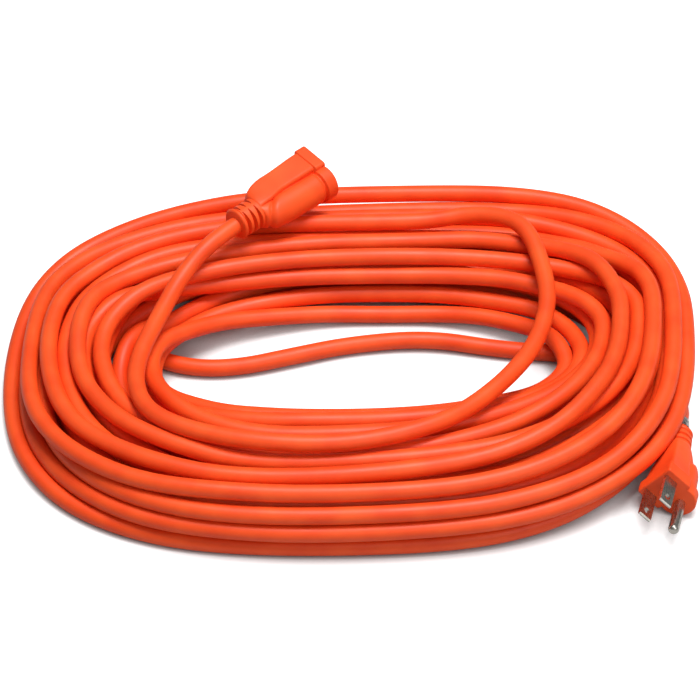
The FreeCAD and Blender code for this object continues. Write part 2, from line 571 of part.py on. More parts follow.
def build_blade(label, way):
    """A flat blade with a bevelled tip and a hole near it."""
    body = new_body(label)
    box, texts = metal_box(half_of("BladeThickness"), half_of("BladeWidth"), way)
    inside = "Sizes.WallFront + Sizes.PlugCarrier + Sizes.TailLength"
    bar = new_feature(body, "Pad", box_sketch(body, box, texts, offset=f"-({inside})"),
                      f"{inside} + Sizes.BladeLength")
    doc.recompute()
    tip = [f"Edge{index}" for index, edge in enumerate(bar.Shape.Edges, start=1)
           if all(abs(vertex.Z - size["BladeLength"]) < TOLERANCE for vertex in edge.Vertexes)
           and edge.Length > size["BladeThickness"] * 2]
    bevel = body.newObject("PartDesign::Chamfer", label + "_bevel")
    bevel.Base = (bar, tip)
    bind(bevel, "Size", "Sizes.BladeBevel")
    hole = new_sketch(body, "YZ_Plane")
    centre = Vector(-size["BladeLine"], size["BladeHolePlace"], 0)
    hole.addGeometry(Part.Circle(centre, Vector(0, 0, 1), size["BladeHole"] / 2))
    add_constraint(hole, "Sizes.BladeHole / 2", "Radius", 0, size["BladeHole"] / 2)
    add_constraint(hole, "-Sizes.BladeLine", "DistanceX", -1, 1, 0, 3, centre.x)
    add_constraint(hole, "Sizes.BladeHolePlace", "DistanceY", -1, 1, 0, 3, centre.y)
    new_feature(body, "Pocket", hole, "2 * Sizes.BladeSpacing", Midplane=True)
    body.Placement = PLUG_PLACE
    return body


def build_ground_pin(label):
    """The round ground pin: a turned tail behind the face and a pin with a round tip before it."""
    body = new_body(label)
    _, place, texts, _, _ = core_places("Plug")[-1]
    inside = "Sizes.WallFront + Sizes.PlugCarrier + Sizes.TailLength"
    radius, radius_text = half_of("GroundTail")
    new_feature(body, "Pad", circle_sketch(body, radius, radius_text, place, texts, f"-({inside})"),
                f"{inside} - Sizes.PinSeat")
    radius, radius_text = half_of("GroundDiameter")
    bar = new_feature(body, "Pad", circle_sketch(body, radius, radius_text, place, texts,
                      "-Sizes.PinSeat"), "Sizes.PinSeat + Sizes.GroundLength")
    doc.recompute()
    tip = [f"Edge{index}" for index, edge in enumerate(bar.Shape.Edges, start=1)
           if all(abs(vertex.Z - size["GroundLength"]) < TOLERANCE for vertex in edge.Vertexes)]
    dome = body.newObject("PartDesign::Fillet", label + "_dome")
    dome.Base = (bar, tip)
    bind(dome, "Radius", "Sizes.GroundDiameter * 0.4")
    body.Placement = PLUG_PLACE
    return body


def build_leaf_contact(label, way):
    """A contact with two leaves that grip a blade, a closed back and a tail."""
    body = new_body(label)
    mouth = "Sizes.WallFront + Sizes.ContactRecess"
    thick, wide = half_of("BladeThickness", "LeafThickness"), half_of("BladeWidth")
    box, texts = metal_box(thick, wide, way)
    new_feature(body, "Pad", box_sketch(body, box, texts, offset=f"-({mouth})"),
                "Sizes.ContactLength", Reversed=True)
    box, texts = metal_box(half_of("BladeThickness", "FitGap"), half_of("BladeWidth", "LeafThickness"),
                           way)
    new_feature(body, "Pocket", box_sketch(body, box, texts, offset=f"-({mouth})"),
                "Sizes.ContactLength - 2 * Sizes.LeafThickness")
    box, texts = metal_box(half_of("BladeThickness"), half_of("BladeWidth"), way)
    new_feature(body, "Pad", box_sketch(body, box, texts, offset=tail_offset("Outlet")),
                "Sizes.OutletCarrier + Sizes.TailLength - Sizes.ContactRecess - Sizes.ContactLength"
                " + Sizes.LeafThickness")
    body.Placement = OUTLET_PLACE
    return body


def build_ground_contact(label):
    """A split tube that grips the ground pin, with a closed back and a tail."""
    body = new_body(label)
    _, place, texts, _, _ = core_places("Outlet")[-1]
    mouth = "Sizes.WallFront + Sizes.ContactRecess"
    outer, outer_text = half_of("GroundDiameter", "LeafThickness")
    inner, inner_text = half_of("GroundDiameter", "FitGap")
    new_feature(body, "Pad", circle_sketch(body, outer, outer_text, place, texts, f"-({mouth})"),
                "Sizes.ContactLength", Reversed=True)
    new_feature(body, "Pocket", circle_sketch(body, inner, inner_text, place, texts, f"-({mouth})"),
                "Sizes.ContactLength - 2 * Sizes.LeafThickness")
    slit = size["SlitWidth"] / 2
    beyond = outer + RELIEF_OVERLAP
    box = (-slit, place[1] - beyond, slit, place[1] + beyond)
    centre = texts[1]
    reach = f"({outer_text} + {RELIEF_OVERLAP})"
    box_texts = ("-Sizes.SlitWidth / 2", f"{centre} - {reach}", "Sizes.SlitWidth / 2",
                 f"{centre} + {reach}")
    new_feature(body, "Pocket", box_sketch(body, box, box_texts, offset=f"-({mouth})"),
                "Sizes.ContactLength - 4 * Sizes.LeafThickness")
    tail, tail_text = half_of("BladeThickness")
    new_feature(body, "Pad", circle_sketch(body, tail, tail_text, place, texts, tail_offset("Outlet")),
                "Sizes.OutletCarrier + Sizes.TailLength - Sizes.ContactRecess - Sizes.ContactLength"
                " + Sizes.LeafThickness")
    body.Placement = OUTLET_PLACE
    return body


def build_cores(end, prefix, place):
    """The three insulated conductors between an end's metal pieces and the cord's jacket."""
    for core in core_places(end):
        sleeve = new_body(f"{prefix}_{core[0]}_insulation")
        core_loft(end, sleeve, core, "AdditiveLoft", "CoreDiameter")
        core_loft(end, sleeve, core, "SubtractiveLoft", "WireDiameter")
        sleeve.Placement = place
        wire = new_body(f"{prefix}_{core[0]}_copper")
        core_loft(end, wire, core, "AdditiveLoft", "WireDiameter")
        wire.Placement = place


def tangent_arc(start, corner, stop):
    """The arc that leaves start towards a corner and reaches stop from it, and its radius."""
    to_start = (start - corner).normalize()
    to_stop = (stop - corner).normalize()
    half = to_start.getAngle(to_stop) / 2
    tangent = start.distanceToPoint(corner)
    radius = tangent * math.tan(half)
    middle = (to_start + to_stop).normalize()
    top = corner + middle * (tangent / math.cos(half) - radius)
    return Part.Arc(start, top, stop).toShape(), radius


def quarter_loop(start, start_way, stop, stop_way, ends_first, bow):
    """Two tangent arcs for a quarter of a loop: a tight one at the coil's end, a wide one on its side.

    The tight arc's size follows from the loop's bow, so that neighbouring loops run parallel.
    """
    chord = stop - start
    across, deep = abs(chord.x), abs(chord.y)
    middle_across = across - deep + bow
    middle_deep = (middle_across ** 2 - bow ** 2) / (2 * bow)
    tight = (deep - bow) * math.tan(math.atan2(middle_deep, middle_across) / 2)
    turn = 1.0 - start_way.dot(stop_way)
    known, other = (start_way, stop_way) if ends_first else (stop_way, start_way)
    wide = (chord.dot(chord) - 2 * tight * chord.dot(known)) / (2 * (chord.dot(other) + tight * turn))
    first, second = (tight, wide) if ends_first else (wide, tight)
    corner_one = start + start_way * first
    corner_two = stop - stop_way * second
    joint = (corner_one * second + corner_two * first) * (1 / (first + second))
    return [tangent_arc(start, corner_one, joint), tangent_arc(joint, corner_two, stop)]


def loop_crossing(side, loop, layer):
    """Where a loop crosses one of the coil's four sides."""
    reach = size["Inner" + side] + (size["CordDiameter"] + size["Gap" + side]) * loop
    along, shift = CROSSINGS[side]
    along += shift * loop
    height = FIRST_LAYER + LAYER_PITCH * layer
    if side == "Right":
        height += size["LeadLift"] * min(1.0, loop / FIRST_LOOP)
    outward = {"Back": Vector(along, reach, height), "Right": Vector(reach, along, height),
               "Front": Vector(along, -reach, height), "Left": Vector(-reach, along, height)}
    return outward[side]


def coil_crossings():
    """All crossings of the coil from the plug's side to the connector's, a quarter turn apart.

    The loops run out and in at a steady rate, and each reversal climbs to the next layer, half of
    it before the outermost or innermost crossing and half of it after.
    """
    crossings = []
    for layer, (start, stop) in enumerate(LAYER_RUNS):
        steps = round(abs(stop - start) * QUARTERS)
        for step in range(steps):
            climbed = layer - 0.5 if layer and step == 0 else layer
            loop = start + (stop - start) * step / steps
            crossings.append((SIDES[len(crossings) % QUARTERS], loop, climbed))
    crossings.append((SIDES[len(crossings) % QUARTERS], LAYER_RUNS[-1][1], len(LAYER_RUNS) - 1))
    return crossings


def coil_route():
    """The coil's centre line as edges, the least radius of its arcs and the points of its two ends."""
    points = []
    for side, loop, layer in coil_crossings():
        points.append((side, loop_crossing(side, loop, layer)))
    points[0][1].z = FLOOR_HEIGHT
    straight = HEADINGS["Back"] * size["CordDiameter"]
    first, last = points[0][1] - straight, points[-1][1] + straight
    edges = [Part.LineSegment(first, points[0][1]).toShape()]
    radii = []
    for (side, start), (after, stop) in zip(points, points[1:]):
        bow = size["Bow" + (side if side in ("Back", "Front") else after)]
        ends_first = side in ("Left", "Right")
        for edge, radius in quarter_loop(start, HEADINGS[side], stop, HEADINGS[after], ends_first, bow):
            edges.append(edge)
            radii.append(radius)
    edges.append(Part.LineSegment(points[-1][1], last).toShape())
    return edges, min(radii), first, last


def lead_route(points):
    """Straight runs joined by tangent arcs through a list of points, and the least radius."""
    edges, radii = [], []
    here = points[0]
    for before, corner, after in zip(points, points[1:], points[2:]):
        run = min(corner.distanceToPoint(before), corner.distanceToPoint(after))
        tangent = 0.45 * run
        start = corner + (before - corner).normalize() * tangent
        stop = corner + (after - corner).normalize() * tangent
        arc, radius = tangent_arc(start, corner, stop)
        edges += [Part.LineSegment(here, start).toShape(), arc]
        radii.append(radius)
        here = stop
    edges.append(Part.LineSegment(here, points[-1]).toShape())
    return edges, min(radii)


def swept_cord(label, edges, radius_text="Sizes.CordDiameter / 2"):
    """A tube of the cord's diameter along a route of tangent edges."""
    route = doc.addObject("Part::Feature", label + "_route")
    route.Shape = Part.Wire(edges)
    first = edges[0]
    profile = doc.addObject("Part::Circle", label + "_profile")
    bind(profile, "Radius", radius_text)
    start, way = first.valueAt(first.FirstParameter), first.tangentAt(first.FirstParameter)
    profile.Placement = Placement(start, Rotation(Vector(0, 0, 1), way))
    tube = doc.addObject("Part::Sweep", label + "_tube")
    tube.Sections = [profile]
    tube.Spine = (route, [])
    tube.Solid = True
    tube.Frenet = False
    return tube


def build_coil(label):
    """The coil: one unbroken tube, pressed flat where it lies on the floor."""
    edges, radius, first, last = coil_route()
    tube = swept_cord(label, edges)
    floor = doc.addObject("Part::Box", label + "_floor")
    reach = 2 * (size["InnerLeft"] + OUTER_LOOP * (size["CordDiameter"] + size["GapLeft"]))
    floor.Length = floor.Width = 2 * reach
    floor.Height = FLOOR_HEIGHT
    floor.Placement = Placement(Vector(-reach, -reach, -FLOOR_HEIGHT), Rotation())
    coil = doc.addObject("Part::Cut", label)
    coil.Base, coil.Tool = tube, floor
    nodes[label] = coil
    return edges, radius, first, last


def build_lead(label, place, end, straight, listed, base, coil_end, away):
    """A free lead from inside a moulded end, through its hand-chosen points, straight to the coil."""
    back = place.Rotation.multVec(Vector(0, 0, -1))
    jacket = size[end + "Body"] + size[end + "Relief"] - size["ReliefBore"]
    start = place.Base + back * jacket
    exit_point = place.Base + back * (size[end + "Body"] + size[end + "Relief"])
    points = [start, exit_point + back * straight]
    points += [Vector(x, y, base + height) for x, y, height in listed]
    points += [coil_end + away * COIL_STRAIGHT, coil_end]
    edges, radius = lead_route(points)
    tube = swept_cord(label, edges)
    tube.Label = label
    nodes[label] = tube
    return edges, radius, exit_point, back


def build_label(label, exit_point, back):
    """The bare foil band round the cord, just outside the plug's strain relief."""
    band = doc.addObject("Part::Cylinder", label + "_band")
    bind(band, "Radius", "Sizes.CordDiameter / 2 + Sizes.LabelThickness")
    bind(band, "Height", "Sizes.LabelLength")
    cord = doc.addObject("Part::Cylinder", label + "_cord")
    bind(cord, "Radius", "Sizes.CordDiameter / 2 + Sizes.FitGap")
    bind(cord, "Height", "Sizes.LabelLength")
    place = Placement(exit_point + back * size["LabelGap"], Rotation(Vector(0, 0, 1), back))
    band.Placement = place
    cord.Placement = place
    foil = doc.addObject("Part::Cut", label)
    foil.Base, foil.Tool = band, cord
    nodes[label] = foil


def points_along(edges, step):
    """Points at even steps along a chain of edges, with their distance along it, and its length."""
    found, run = [], 0.0
    for edge in edges:
        count = max(1, math.ceil(edge.Length / step))
        for index in range(count):
            share = index / count
            value = edge.FirstParameter + (edge.LastParameter - edge.FirstParameter) * share
            found.append((edge.valueAt(value), run + edge.Length * share))
        run += edge.Length
    return found, run


def least_gap(points, apart):
    """The least clear distance of a cord to itself, and its place.

    Two points count only when they are further apart along the cord than apart.
    """
    side = 2 * size["CordDiameter"]
    boxes = {}
    for point, run in points:
        key = (point.x // side, point.y // side, point.z // side)
        boxes.setdefault(key, []).append((point, run))
    around = [(x, y, z) for x in (-1, 0, 1) for y in (-1, 0, 1) for z in (-1, 0, 1)]
    least, place = side, Vector()
    for point, run in points:
        home = (point.x // side, point.y // side, point.z // side)
        for shift in around:
            key = tuple(value + move for value, move in zip(home, shift))
            for other, other_run in boxes.get(key, ()):
                if other_run - run > apart and point.distanceToPoint(other) < least:
                    least, place = point.distanceToPoint(other), point
    return least - size["CordDiameter"], place


plug_shell = build_shell("Plug", "plug_shell", PLUG_PLACE)
cut_plug_face(plug_shell)
bore_plug_carrier(build_carrier("Plug", "plug_carrier", PLUG_PLACE))
build_blade("plug_hot_blade", 1)
build_blade("plug_neutral_blade", -1)
build_ground_pin("plug_ground_pin")
build_cores("Plug", "plug", PLUG_PLACE)

connector_shell = build_shell("Outlet", "connector_shell", OUTLET_PLACE)
cut_outlet_face(connector_shell)
bore_outlet_carrier(build_carrier("Outlet", "connector_carrier", OUTLET_PLACE))
build_leaf_contact("connector_hot_contact", -1)
build_leaf_contact("connector_neutral_contact", 1)
build_ground_contact("connector_ground_contact")
build_cores("Outlet", "connector", OUTLET_PLACE)

coil_edges, coil_radius, coil_first, coil_last = build_coil("cord_coil")
plug_edges, plug_radius, plug_exit, plug_back = build_lead(
    "plug_lead", PLUG_PLACE, "Plug", PLUG_STRAIGHT, PLUG_LEAD, FLOOR_HEIGHT, coil_first,
    -HEADINGS["Back"])
outlet_edges, outlet_radius, _, _ = build_lead(
    "connector_lead", OUTLET_PLACE, "Outlet", OUTLET_STRAIGHT, OUTLET_LEAD, LAST_LAYER, coil_last,
    HEADINGS["Back"])
build_label("cord_label", plug_exit, plug_back)

doc.recompute()
for item in doc.Objects:
    if "Invalid" in item.State or "Error" in item.State:
        raise RuntimeError(f"{item.Name} failed: {item.State}")
for label, item in nodes.items():
    if item.Shape.isNull() or not item.Shape.isValid():
        raise RuntimeError(f"{label} has no valid shape")

cord_section = math.pi * CORD_RADIUS ** 2
for label, edges, radius in (("cord_coil", coil_edges, coil_radius), ("plug_lead", plug_edges, plug_radius),
                             ("connector_lead", outlet_edges, outlet_radius)):
    length = sum(edge.Length for edge in edges)
    volume = nodes[label].Shape.Volume
    print(f"{label}: {length:.0f} mm long, least radius {radius:.1f} mm, "
          f"volume {volume:.0f} mm3 of {cord_section * length:.0f} mm3")
plug_points, plug_length = points_along(plug_edges, GAP_STEP)
coil_points, coil_length = points_along(coil_edges, GAP_STEP)
outlet_points, outlet_length = points_along(outlet_edges, GAP_STEP)
whole = plug_points + [(point, plug_length + run) for point, run in coil_points]
whole += [(point, plug_length + coil_length + outlet_length - run) for point, run in outlet_points]
for label, points in (("cord_coil", coil_points), ("the whole cord", whole)):
    gap, place = least_gap(points, GAP_APART)
    print(f"{label}: least gap to itself {gap:.2f} mm, at ({place.x:.0f}, {place.y:.0f}, {place.z:.0f})")

os.makedirs("parts", exist_ok=True)
for label, item in nodes.items():
    item.Shape.exportStep(os.path.join("parts", label + ".step"))
print(f"{len(nodes)} nodes written")
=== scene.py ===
"""Orange outdoor extension cord, coiled on a pale floor with both moulded ends in view."""
import logging
import math
from dataclasses import dataclass, field, replace
from enum import Enum
from typing import Any

import bmesh
import bpy
import numpy as np
from bmesh.types import BMesh, BMVert
from bpy.types import Material, Node, NodeTree, Object
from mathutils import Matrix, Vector


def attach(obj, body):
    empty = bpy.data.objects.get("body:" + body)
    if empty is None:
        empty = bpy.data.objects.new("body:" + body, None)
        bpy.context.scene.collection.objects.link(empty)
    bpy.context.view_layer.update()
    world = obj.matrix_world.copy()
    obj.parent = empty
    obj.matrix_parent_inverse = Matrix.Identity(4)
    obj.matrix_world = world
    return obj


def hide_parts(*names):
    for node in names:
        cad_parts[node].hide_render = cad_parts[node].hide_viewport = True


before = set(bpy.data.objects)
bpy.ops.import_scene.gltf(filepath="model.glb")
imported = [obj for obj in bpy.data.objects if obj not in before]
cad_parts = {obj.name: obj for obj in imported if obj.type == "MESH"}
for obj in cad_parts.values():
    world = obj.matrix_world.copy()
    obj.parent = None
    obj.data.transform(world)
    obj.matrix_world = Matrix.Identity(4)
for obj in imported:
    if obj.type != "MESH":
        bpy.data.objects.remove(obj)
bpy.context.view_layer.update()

MM = 0.001
log = logging.getLogger("extension_cord")


class Side(Enum):
    """The four sides of the coil in the order in which the cord runs round it."""

    BACK = 0
    RIGHT = 1
    FRONT = 2
    LEFT = 3

    @property
    def sign(self) -> int:
        """1 at the back and right, -1 at the front and left."""
        return 1 if self in (Side.BACK, Side.RIGHT) else -1


def linear(hex_colour: str, alpha: float = 1.0) -> tuple[float, float, float, float]:
    """Turns an sRGB hex colour to the linear values that the shaders take.

    Args:
        hex_colour: six hex digits, with or without a leading hash.
        alpha: the fourth value.

    Returns:
        The linear colour.
    """
    digits = hex_colour.lstrip("#")
    parts = [int(digits[i:i + 2], 16) / 255 for i in (0, 2, 4)]
    flat = [c / 12.92 if c <= 0.04045 else ((c + 0.055) / 1.055) ** 2.4 for c in parts]
    return (flat[0], flat[1], flat[2], alpha)


def add_node(
    tree: NodeTree,
    kind: str,
    settings: dict[str, Any] | None = None,
    values: dict[Any, Any] | None = None,
    links: dict[Any, Any] | None = None,
) -> Node:
    """Adds a node with its settings, its sockets' values and the links into it.

    Args:
        tree: the node tree.
        kind: the node's type.
        settings: the node's properties by name.
        values: default values by socket name or number.
        links: output sockets by the name or number of the input that they feed.

    Returns:
        The new node.
    """
    node = tree.nodes.new(kind)
    for name, value in (settings or {}).items():
        setattr(node, name, value)
    for socket, value in (values or {}).items():
        node.inputs[socket].default_value = value
    for socket, source in (links or {}).items():
        tree.links.new(source, node.inputs[socket])
    return node


def add_object(name: str, data: Any) -> Object:
    """Puts a mesh, curve, lamp or camera in the scene.

    Args:
        name: the new object's name.
        data: its data.

    Returns:
        The new object.
    """
    made = bpy.data.objects.new(name, data)
    bpy.context.scene.collection.objects.link(made)
    return made


def hand_in(piece: Object, slot: str, *nodes: str) -> None:
    """Says what a finished piece rides on and what it replaces.

    Args:
        piece: the piece.
        slot: not used.
        nodes: the nodes that it replaces.
    """
    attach(piece, "root")
    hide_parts(*nodes)


def add_curve(name: str, kind: str, points: np.ndarray) -> Object:
    """Puts a curve of one spline in the scene.

    Args:
        name: the new object's name.
        kind: the spline's type.
        points: its points in metres.

    Returns:
        The new object.
    """
    curve = bpy.data.curves.new(name, "CURVE")
    curve.dimensions = "3D"
    spline = curve.splines.new(kind)
    spline.points.add(len(points) - 1)
    for target, point in zip(spline.points, points):
        target.co = (*point, 1.0)
    return add_object(name, curve)


@dataclass(frozen=True)
class Finish:
    """A surface: its name, its colours and how its light falls.

    The colours are sRGB hex, and every pattern size is in millimetres. A real skin's grain and
    drawn lines are finer than these, which are as coarse as they need to be to show.
    """

    name: str
    colour: str
    roughness: float
    ior: float = 1.5
    metallic: float = 0.0
    relief: float = 0.08
    relief_depth: float = 0.1

    def start(self) -> tuple[Material, NodeTree, Node, Any]:
        """Makes the material with its shader and the object coordinates.

        Returns:
            The material, its tree, its shader and the coordinates' socket.
        """
        material = bpy.data.materials.new(self.name)
        material.use_nodes = True
        tree = material.node_tree
        tree.nodes.clear()
        shader = add_node(tree, "ShaderNodeBsdfPrincipled", values={
            "Base Color": linear(self.colour), "Roughness": self.roughness, "Metallic": self.metallic,
        })
        if not self.metallic:
            shader.inputs["IOR"].default_value = self.ior
        add_node(tree, "ShaderNodeOutputMaterial", links={"Surface": shader.outputs["BSDF"]})
        place = add_node(tree, "ShaderNodeTexCoord")
        return material, tree, shader, place.outputs["Object"]

    def emboss(self, tree: NodeTree, shader: Node, place: Any, size: float, detail: float = 2.0) -> Any:
        """Raises a fine pattern on the skin.

        Args:
            tree: the material's tree.
            shader: its shader.
            place: the coordinates' socket.
            size: how large the pattern's spots are.
            detail: how many finer layers it has.

        Returns:
            The pattern's socket.
        """
        pattern = add_node(tree, "ShaderNodeTexNoise", values={"Scale": 1 / (size * MM), "Detail": detail},
                           links={"Vector": place}).outputs["Fac"]
        bump = add_node(tree, "ShaderNodeBump", values={
            "Strength": self.relief, "Distance": self.relief_depth * MM}, links={"Height": pattern})
        tree.links.new(bump.outputs["Normal"], shader.inputs["Normal"])
        return pattern


@dataclass(frozen=True)
class VinylJacket(Finish):
    """Flexible PVC, extruded or moulded: a soft satin skin that bends the light in at its edges.

    The pigment is nearly even, with only a faint cloud in it. The skin has a fine grain, and
    handling rubs its gloss in patches.
    """

    shade: str = "EA4716"
    light: str = "F55720"
    cloud: float = 16.0
    grain: float = 0.5
    rub: float = 22.0
    sheen: float = 0.32
    rubbed: tuple[float, float] = (-0.05, 0.06)
    glow: float = 0.04
    glow_depth: float = 1.5
    glow_reach: tuple[float, float, float] = (1.0, 0.3, 0.1)

    def material(self) -> Material:
        """Builds the vinyl.

        Returns:
            The material.
        """
        material, tree, shader, place = self.start()
        clouds = add_node(tree, "ShaderNodeTexNoise", values={
            "Scale": 1 / (self.cloud * MM), "Detail": 2.0, "Roughness": 0.5}, links={"Vector": place})
        tint = add_node(tree, "ShaderNodeValToRGB", links={"Fac": clouds.outputs["Fac"]})
        for stop, position, colour in zip(tint.color_ramp.elements, (0.3, 0.7), (self.shade, self.light)):
            stop.position, stop.color = position, linear(colour)
        tree.links.new(tint.outputs["Color"], shader.inputs["Base Color"])
        rubbed = add_node(tree, "ShaderNodeTexNoise", values={
            "Scale": 1 / (self.rub * MM), "Detail": 3.0, "Roughness": 0.6}, links={"Vector": place})
        least, most = (self.roughness + change for change in self.rubbed)
        gloss = add_node(tree, "ShaderNodeMapRange", values={
            "From Min": 0.3, "From Max": 0.7, "To Min": least, "To Max": most},
            links={"Value": rubbed.outputs["Fac"]})
        tree.links.new(gloss.outputs["Result"], shader.inputs["Roughness"])
        self.emboss(tree, shader, place, self.grain)
        shader.inputs["Specular IOR Level"].default_value = self.sheen
        shader.inputs["Subsurface Weight"].default_value = self.glow
        shader.inputs["Subsurface Radius"].default_value = self.glow_reach
        shader.inputs["Subsurface Scale"].default_value = self.glow_depth * MM
        return material


@dataclass(frozen=True)
class PlatedMetal(Finish):
    """Nickel-plated or bare brass, stamped and tumbled: bright, with fine drawn lines and dulled patches.
    On the foil the patches are painted shade standing in for its creases.
    """

    lines: float = 0.35
    # The patches' size and colour: a duller tone on the metal, painted shade in the foil's creases.
    haze_and_shade_size: float = 5.0
    dull_and_shade: str = "8F8B82"
    patches: tuple[float, float, float] = (0.35, 0.75, 0.7)
    worn: tuple[float, float] = (-0.06, 0.14)
    stretch: tuple[float, float, float] = (1.0, 0.08, 1.0)
    relief: float = 0.05
    relief_depth: float = 0.05

    def material(self) -> Material:
        """Builds the metal.

        Returns:
            The material.
        """
        material, tree, shader, place = self.start()
        cloud = add_node(tree, "ShaderNodeTexNoise", values={
            "Scale": 1 / (self.haze_and_shade_size * MM), "Detail": 5.0, "Roughness": 0.6}, links={"Vector": place})
        start, stop, most = self.patches
        amount = add_node(tree, "ShaderNodeMapRange", values={
            "From Min": start, "From Max": stop, "To Min": 0.0, "To Max": most},
            links={"Value": cloud.outputs["Fac"]})
        tint = add_node(tree, "ShaderNodeMixRGB", values={
            "Color1": linear(self.colour), "Color2": linear(self.dull_and_shade)},
            links={"Fac": amount.outputs["Result"]})
        tree.links.new(tint.outputs["Color"], shader.inputs["Base Color"])
        drawn = add_node(tree, "ShaderNodeMapping", values={"Scale": self.stretch}, links={"Vector": place})
        scratches = self.emboss(tree, shader, drawn.outputs["Vector"], self.lines, 3.0)
        least, most = (self.roughness + change for change in self.worn)
        gloss = add_node(tree, "ShaderNodeMapRange", values={
            "From Min": 0.3, "From Max": 0.7, "To Min": least, "To Max": most}, links={"Value": scratches})
        tree.links.new(gloss.outputs["Result"], shader.inputs["Roughness"])
        return material


@dataclass(frozen=True)
class HardPlastic(Finish):
    """Hard moulded plastic or wire insulation: even, with a fine mould grain."""

    grain: float = 0.4
    cloud: float = 6.0
    relief: float = 0.15
    uneven: tuple[float, float] = (0.85, 1.12)

    def material(self) -> Material:
        """Builds the plastic.

        Returns:
            The material.
        """
        material, tree, shader, place = self.start()
        cloud = add_node(tree, "ShaderNodeTexNoise", values={
            "Scale": 1 / (self.cloud * MM), "Detail": 2.0}, links={"Vector": place})
        value = add_node(tree, "ShaderNodeMapRange", values={
            "From Min": 0.3, "From Max": 0.7, "To Min": self.uneven[0], "To Max": self.uneven[1]},
            links={"Value": cloud.outputs["Fac"]})
        tint = add_node(tree, "ShaderNodeHueSaturation", values={"Color": linear(self.colour)},
                        links={"Value": value.outputs["Result"]})
        tree.links.new(tint.outputs["Color"], shader.inputs["Base Color"])
        self.emboss(tree, shader, place, self.grain)
        return material


# The cord: an even satin orange with a soft light line along the top of each turn.
JACKET = VinylJacket("extruded_orange_vinyl", "F45014", 0.47, ior=1.53)
# The ends: the same orange, a little more clouded, with a coarser grain from the mould.
MOULDING = VinylJacket("moulded_orange_vinyl", "F45014", 0.48, ior=1.53, shade="EC4818", light="F65821",
                       cloud=22.0, grain=0.7, rub=14.0)
# The blades and the pin: cold and bright, with fine lines along them.
PINS = PlatedMetal("nickel_plated_brass", "CFCBC2", 0.22, metallic=1.0)
# The contacts and the cores: yellow and red metal behind the slots and in the wires.
CONTACTS = PlatedMetal("sheet_brass", "C9A04C", 0.28, metallic=1.0, dull_and_shade="8A6A30")
COPPER = PlatedMetal("drawn_copper", "C4764A", 0.30, metallic=1.0, dull_and_shade="8A4A2C")
# The band: silver broken by dark patches, painted shade standing in for its creases.
FOIL = PlatedMetal("crumpled_foil", "D4D4D2", 0.26, metallic=1.0, haze_and_shade_size=1.5, dull_and_shade="34343A",
                   patches=(0.46, 0.58, 0.85))
# The inner blocks and the wires' skins: plain, hard and even.
CARRIER = HardPlastic("black_thermoset", "1E1E1E", 0.5, ior=1.55)
BLACK_WIRE = HardPlastic("black_wire_vinyl", "141414", 0.4, ior=1.53)
WHITE_WIRE = HardPlastic("white_wire_vinyl", "D8D7D2", 0.4, ior=1.53)
GREEN_WIRE = HardPlastic("green_wire_vinyl", "0E6B2C", 0.4, ior=1.53)


@dataclass(frozen=True)
class Frame:
    """Where a moulded end lies: its face's centre, the way that it looks and its ground side.

    The soft neck can bend away from the straight axis. Sizes are in millimetres.
    """

    face: tuple[float, float, float]
    looks: tuple[float, float, float]
    ground: tuple[float, float, float]
    bend: tuple[float, float, float] = (0.0, 0.0, 0.0)
    bend_from: float = 6.0
    bend_length: float = 36.5
    bend_power: float = 1.2

    def axes(self) -> np.ndarray:
        """The end's own X, Y and Z as rows."""
        z = np.array(self.looks, float)
        z /= np.linalg.norm(z)
        ground = np.array(self.ground, float)
        y = ground - z * ground.dot(z)
        y /= np.linalg.norm(y)
        return np.array([np.cross(y, z), y, z])

    def behind(self, distance: float) -> np.ndarray:
        """The point on the end's axis that lies this far behind the face."""
        share = max((distance - self.bend_from) / self.bend_length, 0.0) ** self.bend_power
        return np.array(self.face, float) - self.axes()[2] * distance + np.array(self.bend) * share


PLUG_END = Frame((136.3, -81.5, 12.4), (-0.245, -0.968, 0.062), (0.736, -0.227, -0.638),
                 bend=(-1.7, 0.0, 0.0))
CONNECTOR_END = Frame((-16.5, 97.2, 46.2), (0.72, 0.694, 0.0), (0.688, -0.712, -0.139))


@dataclass(frozen=True)
class Quarter:
    """How a turn rounds one corner of the coil: its fullness on the inside and on the outside."""

    inner: float
    outer: float


@dataclass(frozen=True)
class Reach:
    """One side of the coil: where its first row lies, the pitch of its rows and where turns cross it."""

    first: float
    pitch: float
    crossing: float
    drift: float

    def row(self, place: float) -> float:
        """The number of rows between the first one and this distance from the middle."""
        return (place - self.first) / self.pitch

    def along(self, place: float) -> float:
        """Where a turn at this distance from the middle crosses the side's axis."""
        return self.crossing + self.drift * self.row(place)


